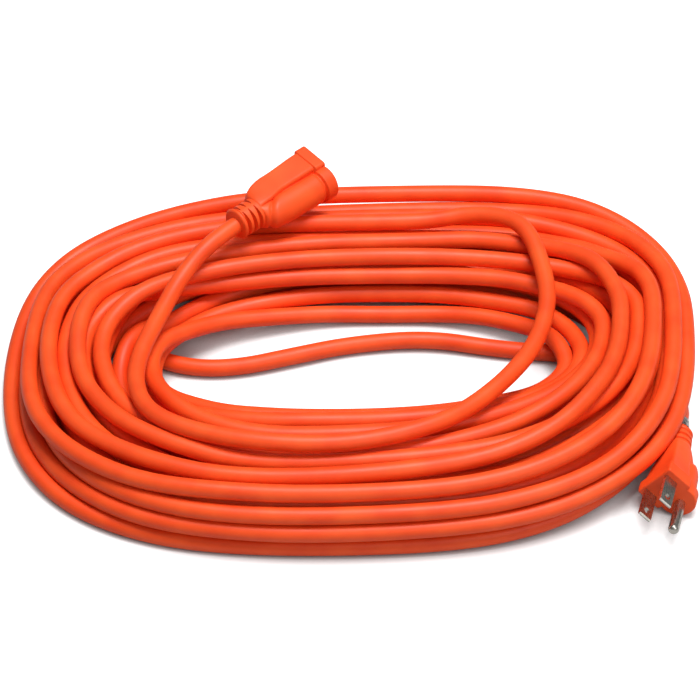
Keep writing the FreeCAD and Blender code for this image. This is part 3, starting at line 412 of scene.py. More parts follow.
@dataclass
class Cord:
    """The whole cord, one length from the plug through the coil to the connector.

    Sizes are in millimetres. Each entry of turns has a turn's distance from the middle and its
    height at the back, right, front and left, as a hand coils it: the outermost turn climbs from
    the floor at the front and left to the top at the back, the last turns lie high on the inside,
    and the plug's lead goes out beneath the pile, which humps over it at the right. Then the
    pile settles.
    """

    diameter: float = 7.9
    points_a_turn: int = 24
    samples: int = 7
    resolution: int = 8
    sides: dict[Side, Reach] = field(default_factory=lambda: {
        Side.BACK: Reach(46.0, 8.3, 13.0, 4.4), Side.RIGHT: Reach(104.5, 7.0, 5.9, 3.4),
        Side.FRONT: Reach(47.6, 8.0, -22.0, 0.5), Side.LEFT: Reach(94.5, 8.8, -1.1, 0.9)})
    corners: dict[Side, Quarter] = field(default_factory=lambda: {
        Side.BACK: Quarter(2.2, 2.36), Side.RIGHT: Quarter(2.05, 2.9),
        Side.FRONT: Quarter(2.0, 2.55), Side.LEFT: Quarter(2.0, 3.15)})
    rows_across: float = 7.0
    corner_power: float = 1.4
    turns: tuple[tuple[tuple[float, float], ...], ...] = (
        ((96.5, 4), (141, 11.5), (98, 4), (133.5, 4.5)),
        ((88, 4), (133, 11.5), (88, 5), (124.5, 4)),
        ((79, 4), (125, 11.5), (80, 5), (124, 11.5)),
        ((70, 4), (117, 11.5), (69, 6), (108.5, 5)),
        ((61, 4), (121, 18), (48, 10), (116.5, 4)),
        ((61, 12), (113, 17), (57, 22), (91.5, 20)),
        ((47.5, 4), (97, 11.5), (41, 19), (93, 9)),
        ((51, 11), (105, 15.5), (49, 23), (99.5, 4)),
        ((70, 13), (121, 25), (60, 13), (116, 14)),
        ((88.5, 16.5), (137, 25.5), (88.5, 18), (131, 19)),
        ((79.5, 20.5), (136, 33.5), (98.5, 27), (147, 17)),
        ((103.2, 19.4), (145, 25.5), (104.8, 20), (143, 13.5)),
        ((98.5, 22), (144, 19), (99, 12), (140.5, 5)),
        ((102.5, 11.5), (148, 11.5), (105.5, 4), (155.3, 4)),
        ((103.5, 24.2), (150, 17.5), (105.8, 12), (148, 6)),
        ((105.5, 4), (136.5, 18.5), (96.5, 20), (132, 11.5)),
        ((78.5, 12.5), (128.5, 19.5), (79.5, 14), (123.5, 18.5)),
        ((55, 18.5), (113, 24.5), (71, 24), (115.5, 23)),
        ((59, 27), (128.5, 29.5), (79, 29), (124, 26)),
        ((71, 26), (120.5, 32.5), (90, 29), (138.5, 24)),
        ((79, 28),))
    plug_lead: tuple[tuple[float, float, float], ...] = (
        (144.9, -31.0, 8.6), (144.8, -20.0, 6.6), (142.4, -5.0, 4.9), (135.2, 7.0, 4.2),
        (124.0, 14.8, 4.0), (111.0, 17.6, 4.0), (97.0, 19.0, 4.0), (68.0, 22.4, 4.0),
        (34.0, 29.5, 4.0), (-2.0, 25.6, 4.0), (-29.0, 16.5, 4.0), (-51.0, 10.3, 4.0),
        (-72.5, 9.2, 4.0), (-92.2, 17.5, 4.0), (-104.3, 39.7, 4.0), (-101.5, 63.0, 4.0),
        (-86.6, 81.2, 4.0), (-63.5, 87.8, 4.0), (-32.0, 93.9, 4.0))
    connector_lead: tuple[tuple[float, float, float], ...] = (
        (42, 80.3, 29.5), (54.5, 80.3, 31.5), (70, 75.7, 34), (81.2, 64.8, 34), (87.1, 43.5, 33),
        (88.5, 20, 32), (82.5, -6, 32), (69, -29.5, 33), (50, -51, 34), (32.6, -64, 35),
        (10.9, -72.7, 36), (-14.8, -75.8, 36), (-44.9, -73.9, 36), (-66.5, -67.7, 34),
        (-82, -59.6, 33), (-93.4, -46.9, 32), (-97.5, -27.6, 31), (-95.4, -7.8, 31),
        (-87.6, 15.8, 32), (-79.4, 36.5, 35))
    # How far behind the faces the cord leaves the ends, how far it reaches back into them, the
    # points near the plug and the connector that keep it straight, and how many are held there.
    plug_exit: float = 42.5
    connector_exit: float = 53.0
    inside: float = 12.0
    straight: tuple[float, float] = (2.5, 14.0)
    held: tuple[int, int] = (3, 2)
    steps: int = 220
    wobble: float = 0.45
    seed: int = 7
    # The settling step: it draws points back to where they were wound and keeps the line smooth
    # until these shares of the steps, and looks for touching turns again every few steps.
    pull: tuple[float, float, float] = (0.03, 0.03, 0.02)
    pull_until: float = 0.8
    stiffness: float = 0.3
    smooth_until: float = 0.9
    search_every: int = 8
    search_margin: float = 3.0
    search_batch: int = 600
    most_slip: float = 3.0
    crowding: float = 0.6
    gain: float = 1.3

    def turn_point(self, start: Side, first: float, second: float, share: float) -> tuple[float, float]:
        """A point between two sides of the coil.

        Args:
            start: the side that the turn leaves.
            first: its distance from the middle there.
            second: its distance from the middle at the next side.
            share: how far it has come, from 0 to 1.

        Returns:
            The point's x and y.
        """
        stop = Side((start.value + 1) % 4)
        here, there = self.sides[start], self.sides[stop]
        depth = (here.row(first) * (1 - share) + there.row(second) * share) / self.rows_across
        corner = self.corners[start]
        full = corner.inner + (corner.outer - corner.inner) * min(max(depth, 0.0), 1.0) ** self.corner_power
        leave = math.cos(share * math.pi / 2) ** (2 / full)
        enter = math.sin(share * math.pi / 2) ** (2 / full)
        at, after = here.along(first), there.along(second)
        leaving = after + (start.sign * first - after) * leave
        coming = at + (stop.sign * second - at) * enter
        return (coming, leaving) if start in (Side.BACK, Side.FRONT) else (leaving, coming)

    def coil_points(self) -> np.ndarray:
        """The coil's turns as control points.

        Returns:
            One row for each point.
        """
        stations = [station for turn in self.turns for station in turn]
        per_quarter = self.points_a_turn // 4
        points = []
        for index, ((first, low), (second, high)) in enumerate(zip(stations, stations[1:])):
            for step in range(per_quarter):
                share = step / per_quarter
                x, y = self.turn_point(Side(index % 4), first, second, share)
                climb = (1 - math.cos(math.pi * share)) / 2
                points.append((x, y, low + (high - low) * climb))
        last, height = stations[-1]
        points.append((self.sides[Side.BACK].along(last), last, height))
        return np.array(points)

    def control_points(self) -> np.ndarray:
        """All control points in order, from inside the plug to inside the connector.

        Returns:
            One row for each point, in millimetres.
        """
        plug, connector = self.plug_exit, self.connector_exit
        return np.array([
            PLUG_END.behind(plug - self.inside), PLUG_END.behind(plug - self.straight[0]),
            *map(np.array, self.plug_lead), *self.coil_points(), *map(np.array, self.connector_lead),
            CONNECTOR_END.behind(connector + self.straight[1]),
            CONNECTOR_END.behind(connector - self.inside)])

    def weights(self, count: int) -> np.ndarray:
        """How much each control point counts at each sample of the line.

        Args:
            count: how many control points there are.

        Returns:
            One row for each sample, one column for each control point.
        """
        rows = (count - 2) * self.samples + 1
        table = np.zeros((rows, count), np.float32)
        for span in range(count - 2):
            for step in range(self.samples):
                t = step / self.samples
                before = (1 - t) ** 2 if span == 0 else (1 - t) ** 2 / 2
                after = t * t if span == count - 3 else t * t / 2
                table[span * self.samples + step, span:span + 3] = before, 1 - before - after, after
        table[-1, -1] = 1.0
        return table

    def neighbours(self, line: np.ndarray, near: float) -> tuple[np.ndarray, np.ndarray]:
        """Pairs of samples that lie close together without being next to each other.

        Args:
            line: the samples.
            near: how close.

        Returns:
            The first and the second sample of each pair.
        """
        found = []
        square = (line ** 2).sum(1)
        for start in range(0, len(line), self.search_batch):
            stop = start + self.search_batch
            apart = square[start:stop, None] + square[None, :] - 2 * line[start:stop] @ line.T
            first, second = np.nonzero(apart < near * near)
            first = first + start
            keep = second - first > 2 * self.samples
            found.append((first[keep], second[keep]))
        return np.concatenate([f for f, _ in found]), np.concatenate([s for _, s in found])

    def settle(self, start: np.ndarray) -> np.ndarray:
        """Lets the turns push each other apart until they lie on one another and on the floor.

        Args:
            start: the control points as wound.

        Returns:
            The control points at rest.
        """
        weights = self.weights(len(start))
        share = weights.T / weights.sum(0)[:, None]
        free = np.ones(len(start), bool)
        free[:self.held[0]] = free[-self.held[1]:] = False
        points = start.copy()
        radius = self.diameter / 2
        pull = np.array(self.pull)
        for step in range(self.steps):
            late = step > self.pull_until * self.steps
            if not late:
                points[free] += pull * (start - points)[free]
            if step < self.smooth_until * self.steps:
                bent = points - start
                smooth = np.zeros_like(bent)
                smooth[1:-1] = (bent[:-2] + bent[2:]) / 2 - bent[1:-1]
                points[free] += self.stiffness * smooth[free]
            if step % self.search_every == 0:
                near = self.diameter + self.search_margin
                a, b = self.neighbours((weights @ points).astype(np.float32), near)
            for _ in range(3 if late else 2):
                line = weights @ points
                along = np.gradient(line, axis=0)
                along /= np.linalg.norm(along, axis=1)[:, None]
                gap = line[a] - line[b]
                slip = (gap * along[b]).sum(1)
                gap -= along[b] * slip[:, None]
                apart = np.linalg.norm(gap, axis=1)
                hit = (apart < self.diameter) & (np.abs(slip) < self.most_slip)
                inside = self.diameter - apart[hit]
                push = gap[hit] / np.maximum(apart[hit], 0.001)[:, None] * inside[:, None] / 2
                move = np.zeros_like(line)
                hits = np.zeros(len(line))
                np.add.at(move, a[hit], push)
                np.add.at(move, b[hit], -push)
                np.add.at(hits, a[hit], 1.0)
                np.add.at(hits, b[hit], 1.0)
                move /= np.maximum(hits, 1.0)[:, None] ** self.crowding
                move[:, 2] += np.maximum(radius - line[:, 2], 0.0)
                points[free] += self.gain * (share @ move)[free]
        points[free, 2] = np.maximum(points[free, 2], radius)
        deepest = float((self.diameter - apart[np.abs(slip) < self.most_slip]).max())
        top = float(line[:, 2].max() + radius)
        log.info("cord settled, deepest contact %.2f mm, top %.1f mm", deepest, top)
        return points

    def build(self, finish: Finish) -> tuple[Object, float, np.ndarray]:
        """Makes the cord's curve.

        Args:
            finish: the jacket's finish.

        Returns:
            The curve object, its length in metres, and the points of its centre line in metres.
        """
        laid = self.control_points()
        laid[3:-3] += np.random.default_rng(self.seed).normal(0.0, self.wobble, laid[3:-3].shape)
        points = self.settle(laid)
        cord = add_curve("cord", "NURBS", points * MM)
        curve = cord.data
        spline = curve.splines[0]
        spline.order_u = 3
        spline.use_endpoint_u = True
        spline.resolution_u = self.resolution
        spline.use_smooth = True
        route = bpy.data.meshes.new_from_object(cord)
        line = np.array([vertex.co for vertex in route.vertices])
        bpy.data.meshes.remove(route)
        curve.bevel_depth = self.diameter / 2 * MM
        curve.bevel_resolution = self.resolution
        curve.use_fill_caps = True
        curve.materials.append(finish.material())
        length = float(np.linalg.norm(np.diff(line, axis=0), axis=1).sum())
        log.info("cord: %d control points, %.2f m", len(points), length)
        return cord, length, line


@dataclass(frozen=True)
class Moulding:
    """One end's moulded body. Sizes are in millimetres, distances run back from the face.

    The section is a box on the blade side joined to a round lobe on the ground side. A rim
    stands behind the face, a raised barrel lies on the lobe with a groove round it, the
    shoulder falls to the neck, and slots part the strain relief into rings.
    """

    name: str
    half_width: float
    flat: float
    box_end: float
    lobe_centre: float
    lobe_radius: float
    edge: float
    rim: float
    rim_step: float
    waist_step: float
    shoulder: float
    roundness: float
    body: float
    relief: float
    barrel: tuple[float, float]
    barrel_nose: float
    barrel_rise: float
    barrel_drop: float
    barrel_span: float
    groove: float
    neck: float
    tip: float
    bead: float
    slot_width: float
    webs: tuple[float, ...] = ()
    face_fillet: float = 0.8
    slots: int = 3
    slot_start: float = 1.4
    slot_pitch: float = 3.4
    slot_floor: float = 4.3
    # How the slots close beside a web: the angle over which they do, the solid share and the curve.
    web_fade: float = 55.0
    web_solid: float = 0.12
    web_power: float = 0.7
    around: int = 192
    # The rim's end, the barrel's edge, the channel beside it, and the relief's bead and slots.
    rim_end: float = 0.35
    rim_edge: float = 0.6
    barrel_edge: float = 0.9
    barrel_lead: float = 0.7
    channel_out: float = 0.2
    channel_width: float = 0.85
    channel_fade: float = 0.5
    bead_height: float = 1.6
    bead_end: float = 0.05
    slot_edge: float = 0.3
    # The mesh's rings: where they start, how far the fine ones reach before and behind the rim's
    # end, and how far apart they are before it, at it, along the body and on the relief.
    first_ring: float = 1.2
    fine_before: float = 0.6
    fine_behind: float = 2.0
    spacing: tuple[float, float, float, float] = (0.6, 0.16, 0.45, 0.15)
    last_gap: float = 0.05
    # How far out the section is searched for its edge, and how many times the gap is halved.
    furthest: float = 40.0
    halvings: int = 40

    def angles(self) -> np.ndarray:
        """The directions of the mesh's lines, from the end's own X towards its ground side."""
        return np.arange(self.around) * 2 * math.pi / self.around

    def ways(self) -> np.ndarray:
        """The same directions as unit vectors."""
        return np.stack([np.cos(self.angles()), np.sin(self.angles())], 1)

    def section(self, inset: float) -> np.ndarray:
        """How far the section reaches in each direction.

        Args:
            inset: how far the outline is drawn in.

        Returns:
            One distance for each of the mesh's lines.
        """
        ways = self.ways()
        half = self.half_width - inset
        low, high = -(self.flat - inset), self.box_end
        middle = np.array([0.0, (low + high) / 2])
        size = np.array([half, (high - low) / 2]) - self.edge
        near, far = np.zeros(self.around), np.full(self.around, self.furthest)
        for _ in range(self.halvings):
            reach = (near + far) / 2
            point = ways * reach[:, None]
            corner = np.abs(point - middle) - size
            box = (np.linalg.norm(np.maximum(corner, 0), axis=1)
                   + np.minimum(corner.max(1), 0) - self.edge)
            lobe = np.linalg.norm(point - (0.0, self.lobe_centre), axis=1) - (self.lobe_radius - inset)
            inside = np.minimum(box, lobe) < 0
            near = np.where(inside, reach, near)
            far = np.where(inside, far, reach)
        return near

    def rings(self) -> np.ndarray:
        """The distances of the mesh's rings behind the face, closer where the shape turns quickly."""
        stop = self.body + self.relief
        fillet = self.face_fillet * (1 - np.cos(np.linspace(0, math.pi / 2, 7)))
        before, behind = self.rim - self.fine_before, self.rim + self.fine_behind
        runs = zip((self.first_ring, before, behind, self.body),
                   (before, behind, self.body, stop - self.last_gap), self.spacing)
        return np.concatenate([fillet, *(np.arange(*run) for run in runs), [stop]])

    @staticmethod
    def ease(value: np.ndarray) -> np.ndarray:
        """A smooth step from 0 to 1."""
        held = np.clip(value, 0, 1)
        return held * held * (3 - 2 * held)

    def surface(self) -> tuple[np.ndarray, np.ndarray]:
        """The moulding's surface.

        Returns:
            The rings' distances behind the face, and the reach at each ring and line.
        """
        back = self.rings()[:, None]
        turn = self.angles()[None, :]
        insets = (0.0, self.rim_step, self.rim_step + self.waist_step)
        rim, grip, waist = (self.section(inset) for inset in insets)
        taper = self.ease((back - self.rim) / (self.shoulder - self.rim))
        reach = grip[None, :] * (1 - taper) + waist[None, :] * taper
        fall = np.clip((back - self.shoulder) / (self.body - self.shoulder), 0, 1)
        rounding = self.roundness * (1 - np.sqrt(1 - fall ** 2)) + (1 - self.roundness) * fall
        reach = reach * (1 - rounding) + self.neck * rounding
        # The barrel is a longer round than the grip, and its outline closes in a nose.
        start, end = self.barrel
        nose = np.clip((back - (end - self.barrel_nose)) / self.barrel_nose, 0, None)
        drop = self.barrel_drop * (1 - np.sqrt(1 - np.minimum(nose, 1) ** 2))
        full = self.lobe_radius - self.rim_step + self.barrel_rise
        centre = self.lobe_centre - drop
        barrel = centre * np.sin(turn) + np.sqrt(full ** 2 - (centre * np.cos(turn)) ** 2)
        away = np.abs((turn - math.pi / 2 + math.pi) % (2 * math.pi) - math.pi) * self.lobe_radius
        span = math.radians(self.barrel_span) * self.lobe_radius
        inner = (1 - np.sqrt((away / span) ** 2 + nose ** 2)) * span
        inner = np.minimum(inner, back - start)
        raised = self.ease(inner / self.barrel_edge + self.barrel_lead)
        reach = np.where(back > self.rim, reach + (barrel - reach) * raised, reach)
        away_from = (inner + self.channel_out) / self.channel_width
        channel = self.groove * np.exp(-away_from ** 2) * (back > self.rim)
        reach = reach - channel * self.ease((back - self.rim) / self.channel_fade)
        lip = self.ease((self.rim + self.rim_end - back) / self.rim_edge)
        reach = reach * (1 - lip) + rim[None, :] * lip
        fillet = self.face_fillet - np.sqrt(np.maximum(
            self.face_fillet ** 2 - np.clip(self.face_fillet - back, 0, None) ** 2, 0))
        reach = reach - fillet
        return self.rings(), self.add_relief(back, turn, reach)

    def add_relief(self, back: np.ndarray, turn: np.ndarray, reach: np.ndarray) -> np.ndarray:
        """Shapes the strain relief: a tapered collar, its slots and the bead at its end.

        Args:
            back: the rings' distances, as a column.
            turn: the lines' directions, as a row.
            reach: the surface so far.

        Returns:
            The whole surface.
        """
        along = back - self.body
        collar = self.neck - (self.neck - self.tip) * np.clip(along / self.relief, 0, 1)
        last = self.slot_start + (self.slots - 1) * self.slot_pitch + self.slot_width
        middle, half = (last + self.relief) / 2, (self.relief - last) / 2
        dome = np.sqrt(np.maximum(1 - ((along - middle) / (half + self.bead_end)) ** 2, 0))
        collar = np.where(along > last, self.bead - self.bead_height + self.bead_height * dome, collar)
        window = np.ones_like(turn)
        for web in self.webs:
            off = np.abs((turn - math.radians(web) + math.pi) % (2 * math.pi) - math.pi)
            share = np.clip(off / math.radians(self.web_fade) - self.web_solid, 0, 1)
            window = np.minimum(window, share ** self.web_power)
        slot = np.zeros_like(along + turn)
        for index in range(self.slots):
            centre = self.slot_start + index * self.slot_pitch + self.slot_width / 2
            reach_of = self.slot_width / 2 * window - np.abs(along - centre)
            slot = np.maximum(slot, self.ease(reach_of / self.slot_edge + 0.5) * (window > 0))
        relief = collar - (collar - self.slot_floor) * slot
        return np.where(along > 0, relief + np.zeros_like(turn), reach)


# Where the connector's two slots and its ground hole lie, in its own X and Y.
HOT, NEUTRAL, GROUND = (-6.35, -5.2), (6.35, -5.2), (0.0, 6.7)


@dataclass(frozen=True)
class Opening:
    """A hole in the connector's face, a slot or the round ground hole. Sizes are in millimetres."""

    x: float
    y: float
    wide: float
    tall: float
    corner: float

    def outline(self, steps: int = 8) -> list[tuple[float, float]]:
        """The hole's outline with rounded corners.

        Args:
            steps: how many parts each corner has.

        Returns:
            Its points.
        """
        points = []
        for quarter, (side_x, side_y) in enumerate(((1, 1), (-1, 1), (-1, -1), (1, -1))):
            x = self.x + side_x * (self.wide / 2 - self.corner)
            y = self.y + side_y * (self.tall / 2 - self.corner)
            for step in range(steps + 1):
                turn = math.pi / 2 * (quarter + step / steps)
                points.append((x + self.corner * math.cos(turn), y + self.corner * math.sin(turn)))
        return points


PLUG_MOULDING = Moulding(
    "plug_moulding", half_width=10.2, flat=9.7, box_end=3.0, lobe_centre=5.0, lobe_radius=8.3, edge=1.0,
    rim=6.0, rim_step=0.7, waist_step=0.6, shoulder=8.0, roundness=0.25, body=31.0, relief=11.5,
    barrel=(7.2, 23.0), barrel_nose=7.5, barrel_rise=-0.7, barrel_drop=4.0, barrel_span=72.0, groove=0.3,
    neck=5.6, tip=5.2, bead=5.4, slot_width=1.2, slot_floor=4.4)
CONNECTOR_MOULDING = Moulding(
    "connector_moulding", half_width=10.4, flat=11.9, box_end=3.2, lobe_centre=5.2, lobe_radius=8.5,
    edge=1.3, rim=6.0, rim_step=0.8, waist_step=0.9, shoulder=28.0, roundness=1.0, body=41.0, relief=12.0,
    barrel=(7.0, 38.6), barrel_nose=14.0, barrel_rise=0.0, barrel_drop=2.2, barrel_span=75.0, groove=1.0,
    neck=7.4, tip=7.1, bead=7.5, slot_width=1.7, slot_floor=4.1, webs=(0.0, 180.0))


@dataclass
class MouldedEnds:
    """The plug and the connector: new moulded bodies round the model's metal and inner pieces."""

    wall: float = 1.6
    room: float = 18.5
    room_inset: float = 2.25
    block_inset: float = 2.35
    block_end: float = -0.4
    plate: float = 4.0
    plate_inset: float = 1.4
    weld: float = 1e-7
    sharp_from: float = 38.0
    passages: tuple[Opening, ...] = (
        Opening(*HOT, 3.0, 7.6, 0.3), Opening(*NEUTRAL, 3.0, 7.6, 0.3), Opening(*GROUND, 6.4, 6.4, 3.2))
    openings: tuple[Opening, ...] = (
        Opening(*HOT, 2.1, 7.0, 0.3), Opening(*NEUTRAL, 2.1, 8.7, 0.3), Opening(*GROUND, 5.2, 5.2, 2.6))
    finishes: dict[str, Finish] = field(default_factory=lambda: {
        "shell": MOULDING, "carrier": CARRIER, "blade": PINS, "pin": PINS, "contact": CONTACTS,
        "hot_insulation": BLACK_WIRE, "neutral_insulation": WHITE_WIRE, "ground_insulation": GREEN_WIRE,
        "copper": COPPER})

    @staticmethod
    def ring(bm: BMesh, place: Frame, back: float, outline: Any) -> list[BMVert]:
        """Adds a ring of points.

        Args:
            bm: the mesh.
            place: where the end lies.
            back: the ring's distance behind the face.
            outline: the ring's points in the end's own X and Y.

        Returns:
            The new points.
        """
        axes = place.axes()
        middle = place.behind(back)
        return [bm.verts.new((middle + axes[0] * x + axes[1] * y) * MM) for x, y in outline]

    @staticmethod
    def bridge(bm: BMesh, one: list[BMVert], other: list[BMVert]) -> None:
        """Joins two rings with a band of faces.

        Args:
            bm: the mesh.
            one: the first ring.
            other: the second ring.
        """
        for index in range(len(one)):
            after = (index + 1) % len(one)
            bm.faces.new((one[index], one[after], other[after], other[index]))

    def tube(self, bm: BMesh, place: Frame, outline: Any, start: float, stop: float) -> list[list[BMVert]]:
        """Adds two rings of one outline and joins them.

        Args:
            bm: the mesh.
            place: where the end lies.
            outline: the rings' points in the end's own X and Y.
            start: the first ring's distance behind the face.
            stop: the second ring's.

        Returns:
            The two rings.
        """
        rings = [self.ring(bm, place, back, outline) for back in (start, stop)]
        self.bridge(bm, *rings)
        return rings

    @staticmethod
    def cap(bm: BMesh, loops: list[list[BMVert]]) -> None:
        """Fills a flat face between an outline and the holes in it.

        Args:
            bm: the mesh.
            loops: the outline first, then the holes.
        """
        edges = []
        for loop in loops:
            for index, vertex in enumerate(loop):
                after = loop[(index + 1) % len(loop)]
                edges.append(bm.edges.get((vertex, after)) or bm.edges.new((vertex, after)))
        bmesh.ops.triangle_fill(bm, use_beauty=True, use_dissolve=False, edges=edges)

    def body(self, moulding: Moulding, place: Frame, hollow: bool) -> Object:
        """Makes a moulded body.

        Args:
            moulding: its shape.
            place: where it lies.
            hollow: whether its face has openings into a room for the contacts.

        Returns:
            The new object.
        """
        bm = bmesh.new()
        backs, reaches = moulding.surface()
        ways = moulding.ways()
        loops = [self.ring(bm, place, back, ways * reach[:, None]) for back, reach in zip(backs, reaches)]
        for one, other in zip(loops, loops[1:]):
            self.bridge(bm, one, other)
        self.cap(bm, [loops[-1]])
        if hollow:
            holes = [self.tube(bm, place, opening.outline(), 0.0, self.wall) for opening in self.openings]
            room = replace(moulding, box_end=self.block_end)
            inner = ways * room.section(self.room_inset)[:, None]
            near, far = self.tube(bm, place, inner, self.wall, self.wall + self.room)
            self.cap(bm, [loops[0], *(front for front, _ in holes)])
            self.cap(bm, [near, *(behind for _, behind in holes)])
            self.cap(bm, [far])
        else:
            self.cap(bm, [loops[0]])
        return self.finish(bm, moulding.name)

    def block(self, name: str, place: Frame, outline: np.ndarray, length: float,
              passages: tuple[Opening, ...]) -> Object:
        """Makes a hard inner block behind an end's front wall.

        Args:
            name: the new object's name.
            place: where the end lies.
            outline: the block's outline in the end's own X and Y.
            length: how long it is.
            passages: the openings right through it.

        Returns:
            The block.
        """
        bm = bmesh.new()
        outlines = [outline, *(passage.outline() for passage in passages)]
        tubes = [self.tube(bm, place, each, self.wall, self.wall + length) for each in outlines]
        for ends in zip(*tubes):
            self.cap(bm, list(ends))
        return self.finish(bm, name)

    def finish(self, bm: BMesh, name: str) -> Object:
        """Turns a closed mesh outward, smooths it and puts it in the scene.

        Args:
            bm: the mesh, which is freed.
            name: the new object's name.

        Returns:
            The new object.
        """
        bmesh.ops.remove_doubles(bm, verts=bm.verts, dist=self.weld)
        bmesh.ops.recalc_face_normals(bm, faces=bm.faces)
        for face in bm.faces:
            face.smooth = True
        mesh = bpy.data.meshes.new(name)
        bm.to_mesh(mesh)
        bm.free()
        mesh.set_sharp_from_angle(angle=math.radians(self.sharp_from))
        made = add_object(name, mesh)
        log.info("%s: %d faces", name, len(mesh.polygons))
        return made

    def dress(self) -> dict[str, Material]:
        """Gives every inner piece of the two ends its finish.

        Returns:
            The materials by the finish's name.
        """
        made: dict[str, Material] = {}
        for name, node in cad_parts.items():
            if not name.startswith(("plug_", "connector_")) or name.endswith("_lead"):
                continue
            kind = next(k for k in self.finishes if name.endswith(k))
            finish = self.finishes[kind]
            if finish.name not in made:
                made[finish.name] = finish.material()
            node.data.materials.clear()
            node.data.materials.append(made[finish.name])
            log.info("%s: %s", name, finish.name)
        return made

    def build(self) -> list[Object]:
        """Dresses the metal and the wires and makes both moulded bodies and their inner blocks.

        Returns:
            The four new pieces.
        """
        made = self.dress()
        filled = replace(CONNECTOR_MOULDING, box_end=self.block_end)
        plate = PLUG_MOULDING.ways() * PLUG_MOULDING.section(self.plate_inset)[:, None]
        block = filled.ways() * filled.section(self.block_inset)[:, None]
        pieces = (
            (self.body(PLUG_MOULDING, PLUG_END, False), MOULDING, "moulding", "plug_shell"),
            (self.body(CONNECTOR_MOULDING, CONNECTOR_END, True), MOULDING, "moulding", "connector_shell"),
            (self.block("plug_plate", PLUG_END, plate, self.plate, ()), CARRIER, "carrier", "plug_carrier"),
            (self.block("connector_block", CONNECTOR_END, block, self.room, self.passages),
             CARRIER, "carrier", "connector_carrier"))
        for piece, finish, slot, node in pieces:
            piece.data.materials.append(made[finish.name])
            hand_in(piece, slot, node)
        return [piece for piece, *_ in pieces]


@dataclass
class FoilBand:
    """The bare foil band round the lead, a little crumpled. Sizes are in millimetres."""

    start: float = 13.6
    length: float = 6.4
    radius: float = 4.2
    crumple: float = 0.5
    grain: float = 1.7
    around: int = 96
    along: int = 60

    def sizes(self) -> dict[str, float]:
        """The tree's inputs by name, in metres."""
        return {"Radius": self.radius * MM, "Crumple": self.crumple * MM, "Grain": self.grain * MM}

    def tree(self, material: Material) -> NodeTree:
        """The node tree that sweeps a crumpled tube along a line.

        Args:
            material: the band's material.

        Returns:
            The tree.
        """
        tree = bpy.data.node_groups.new("foil_band", "GeometryNodeTree")
        face = tree.interface
        face.new_socket("Geometry", in_out="INPUT", socket_type="NodeSocketGeometry")
        for name, value in self.sizes().items():
            face.new_socket(name, in_out="INPUT", socket_type="NodeSocketFloat").default_value = value
        face.new_socket("Geometry", in_out="OUTPUT", socket_type="NodeSocketGeometry")
        given = add_node(tree, "NodeGroupInput")
        round_line = add_node(tree, "GeometryNodeCurvePrimitiveCircle", values={"Resolution": self.around},
                              links={"Radius": given.outputs["Radius"]})
        finer = add_node(tree, "GeometryNodeResampleCurve", values={"Count": self.along},
                         links={"Curve": given.outputs["Geometry"]})
        swept = add_node(tree, "GeometryNodeCurveToMesh", values={"Fill Caps": True}, links={
            "Curve": finer.outputs["Curve"], "Profile Curve": round_line.outputs["Curve"]})
        scale = add_node(tree, "ShaderNodeMath", {"operation": "DIVIDE"}, {0: 1.0},
                         {1: given.outputs["Grain"]})
        noise = add_node(tree, "ShaderNodeTexNoise", values={"Detail": 2.0},
                         links={"Scale": scale.outputs[0]})
        level = add_node(tree, "ShaderNodeMath", {"operation": "SUBTRACT"}, {1: 0.5},
                         {0: noise.outputs["Fac"]})
        depth = add_node(tree, "ShaderNodeMath", {"operation": "MULTIPLY"},
                         links={0: level.outputs[0], 1: given.outputs["Crumple"]})
        normal = add_node(tree, "GeometryNodeInputNormal")
        push = add_node(tree, "ShaderNodeVectorMath", {"operation": "SCALE"},
                        links={0: normal.outputs[0], "Scale": depth.outputs[0]})
        crumpled = add_node(tree, "GeometryNodeSetPosition",
                            links={"Geometry": swept.outputs["Mesh"], "Offset": push.outputs[0]})
        real = add_node(tree, "GeometryNodeRealizeInstances",
                        links={"Geometry": crumpled.outputs["Geometry"]})
        dressed = add_node(tree, "GeometryNodeSetMaterial", values={"Material": material},
                           links={"Geometry": real.outputs["Geometry"]})
        add_node(tree, "NodeGroupOutput", links={0: dressed.outputs["Geometry"]})
        return tree

    def build(self, line: np.ndarray, material: Material) -> Object:
        """Makes the band on the cord's line.

        Args:
            line: the cord's centre line in metres, from the plug on.
            material: the band's material.

        Returns:
            The band.
        """
        run = np.concatenate([[0.0], np.cumsum(np.linalg.norm(np.diff(line, axis=0), axis=1))]) / MM
        held = line[(run > self.start) & (run < self.start + self.length)]
        holder = add_curve("band_line", "POLY", held)
        curve = holder.data
        tree = self.tree(material)
        modifier = holder.modifiers.new("band", "NODES")
        modifier.node_group = tree
        for item in tree.interface.items_tree:
            if item.in_out == "INPUT" and item.name in self.sizes():
                modifier[item.identifier] = self.sizes()[item.name]
        seen = holder.evaluated_get(bpy.context.evaluated_depsgraph_get())
        mesh = bpy.data.meshes.new_from_object(seen)
        bpy.data.objects.remove(holder)
        bpy.data.curves.remove(curve)
        mesh.name = "foil_band"
        mesh.polygons.foreach_set("use_smooth", [True] * len(mesh.polygons))
        if not mesh.materials:
            mesh.materials.append(material)
        band = add_object("foil_band", mesh)
        log.info("foil_band: %d faces", len(mesh.polygons))
        return band


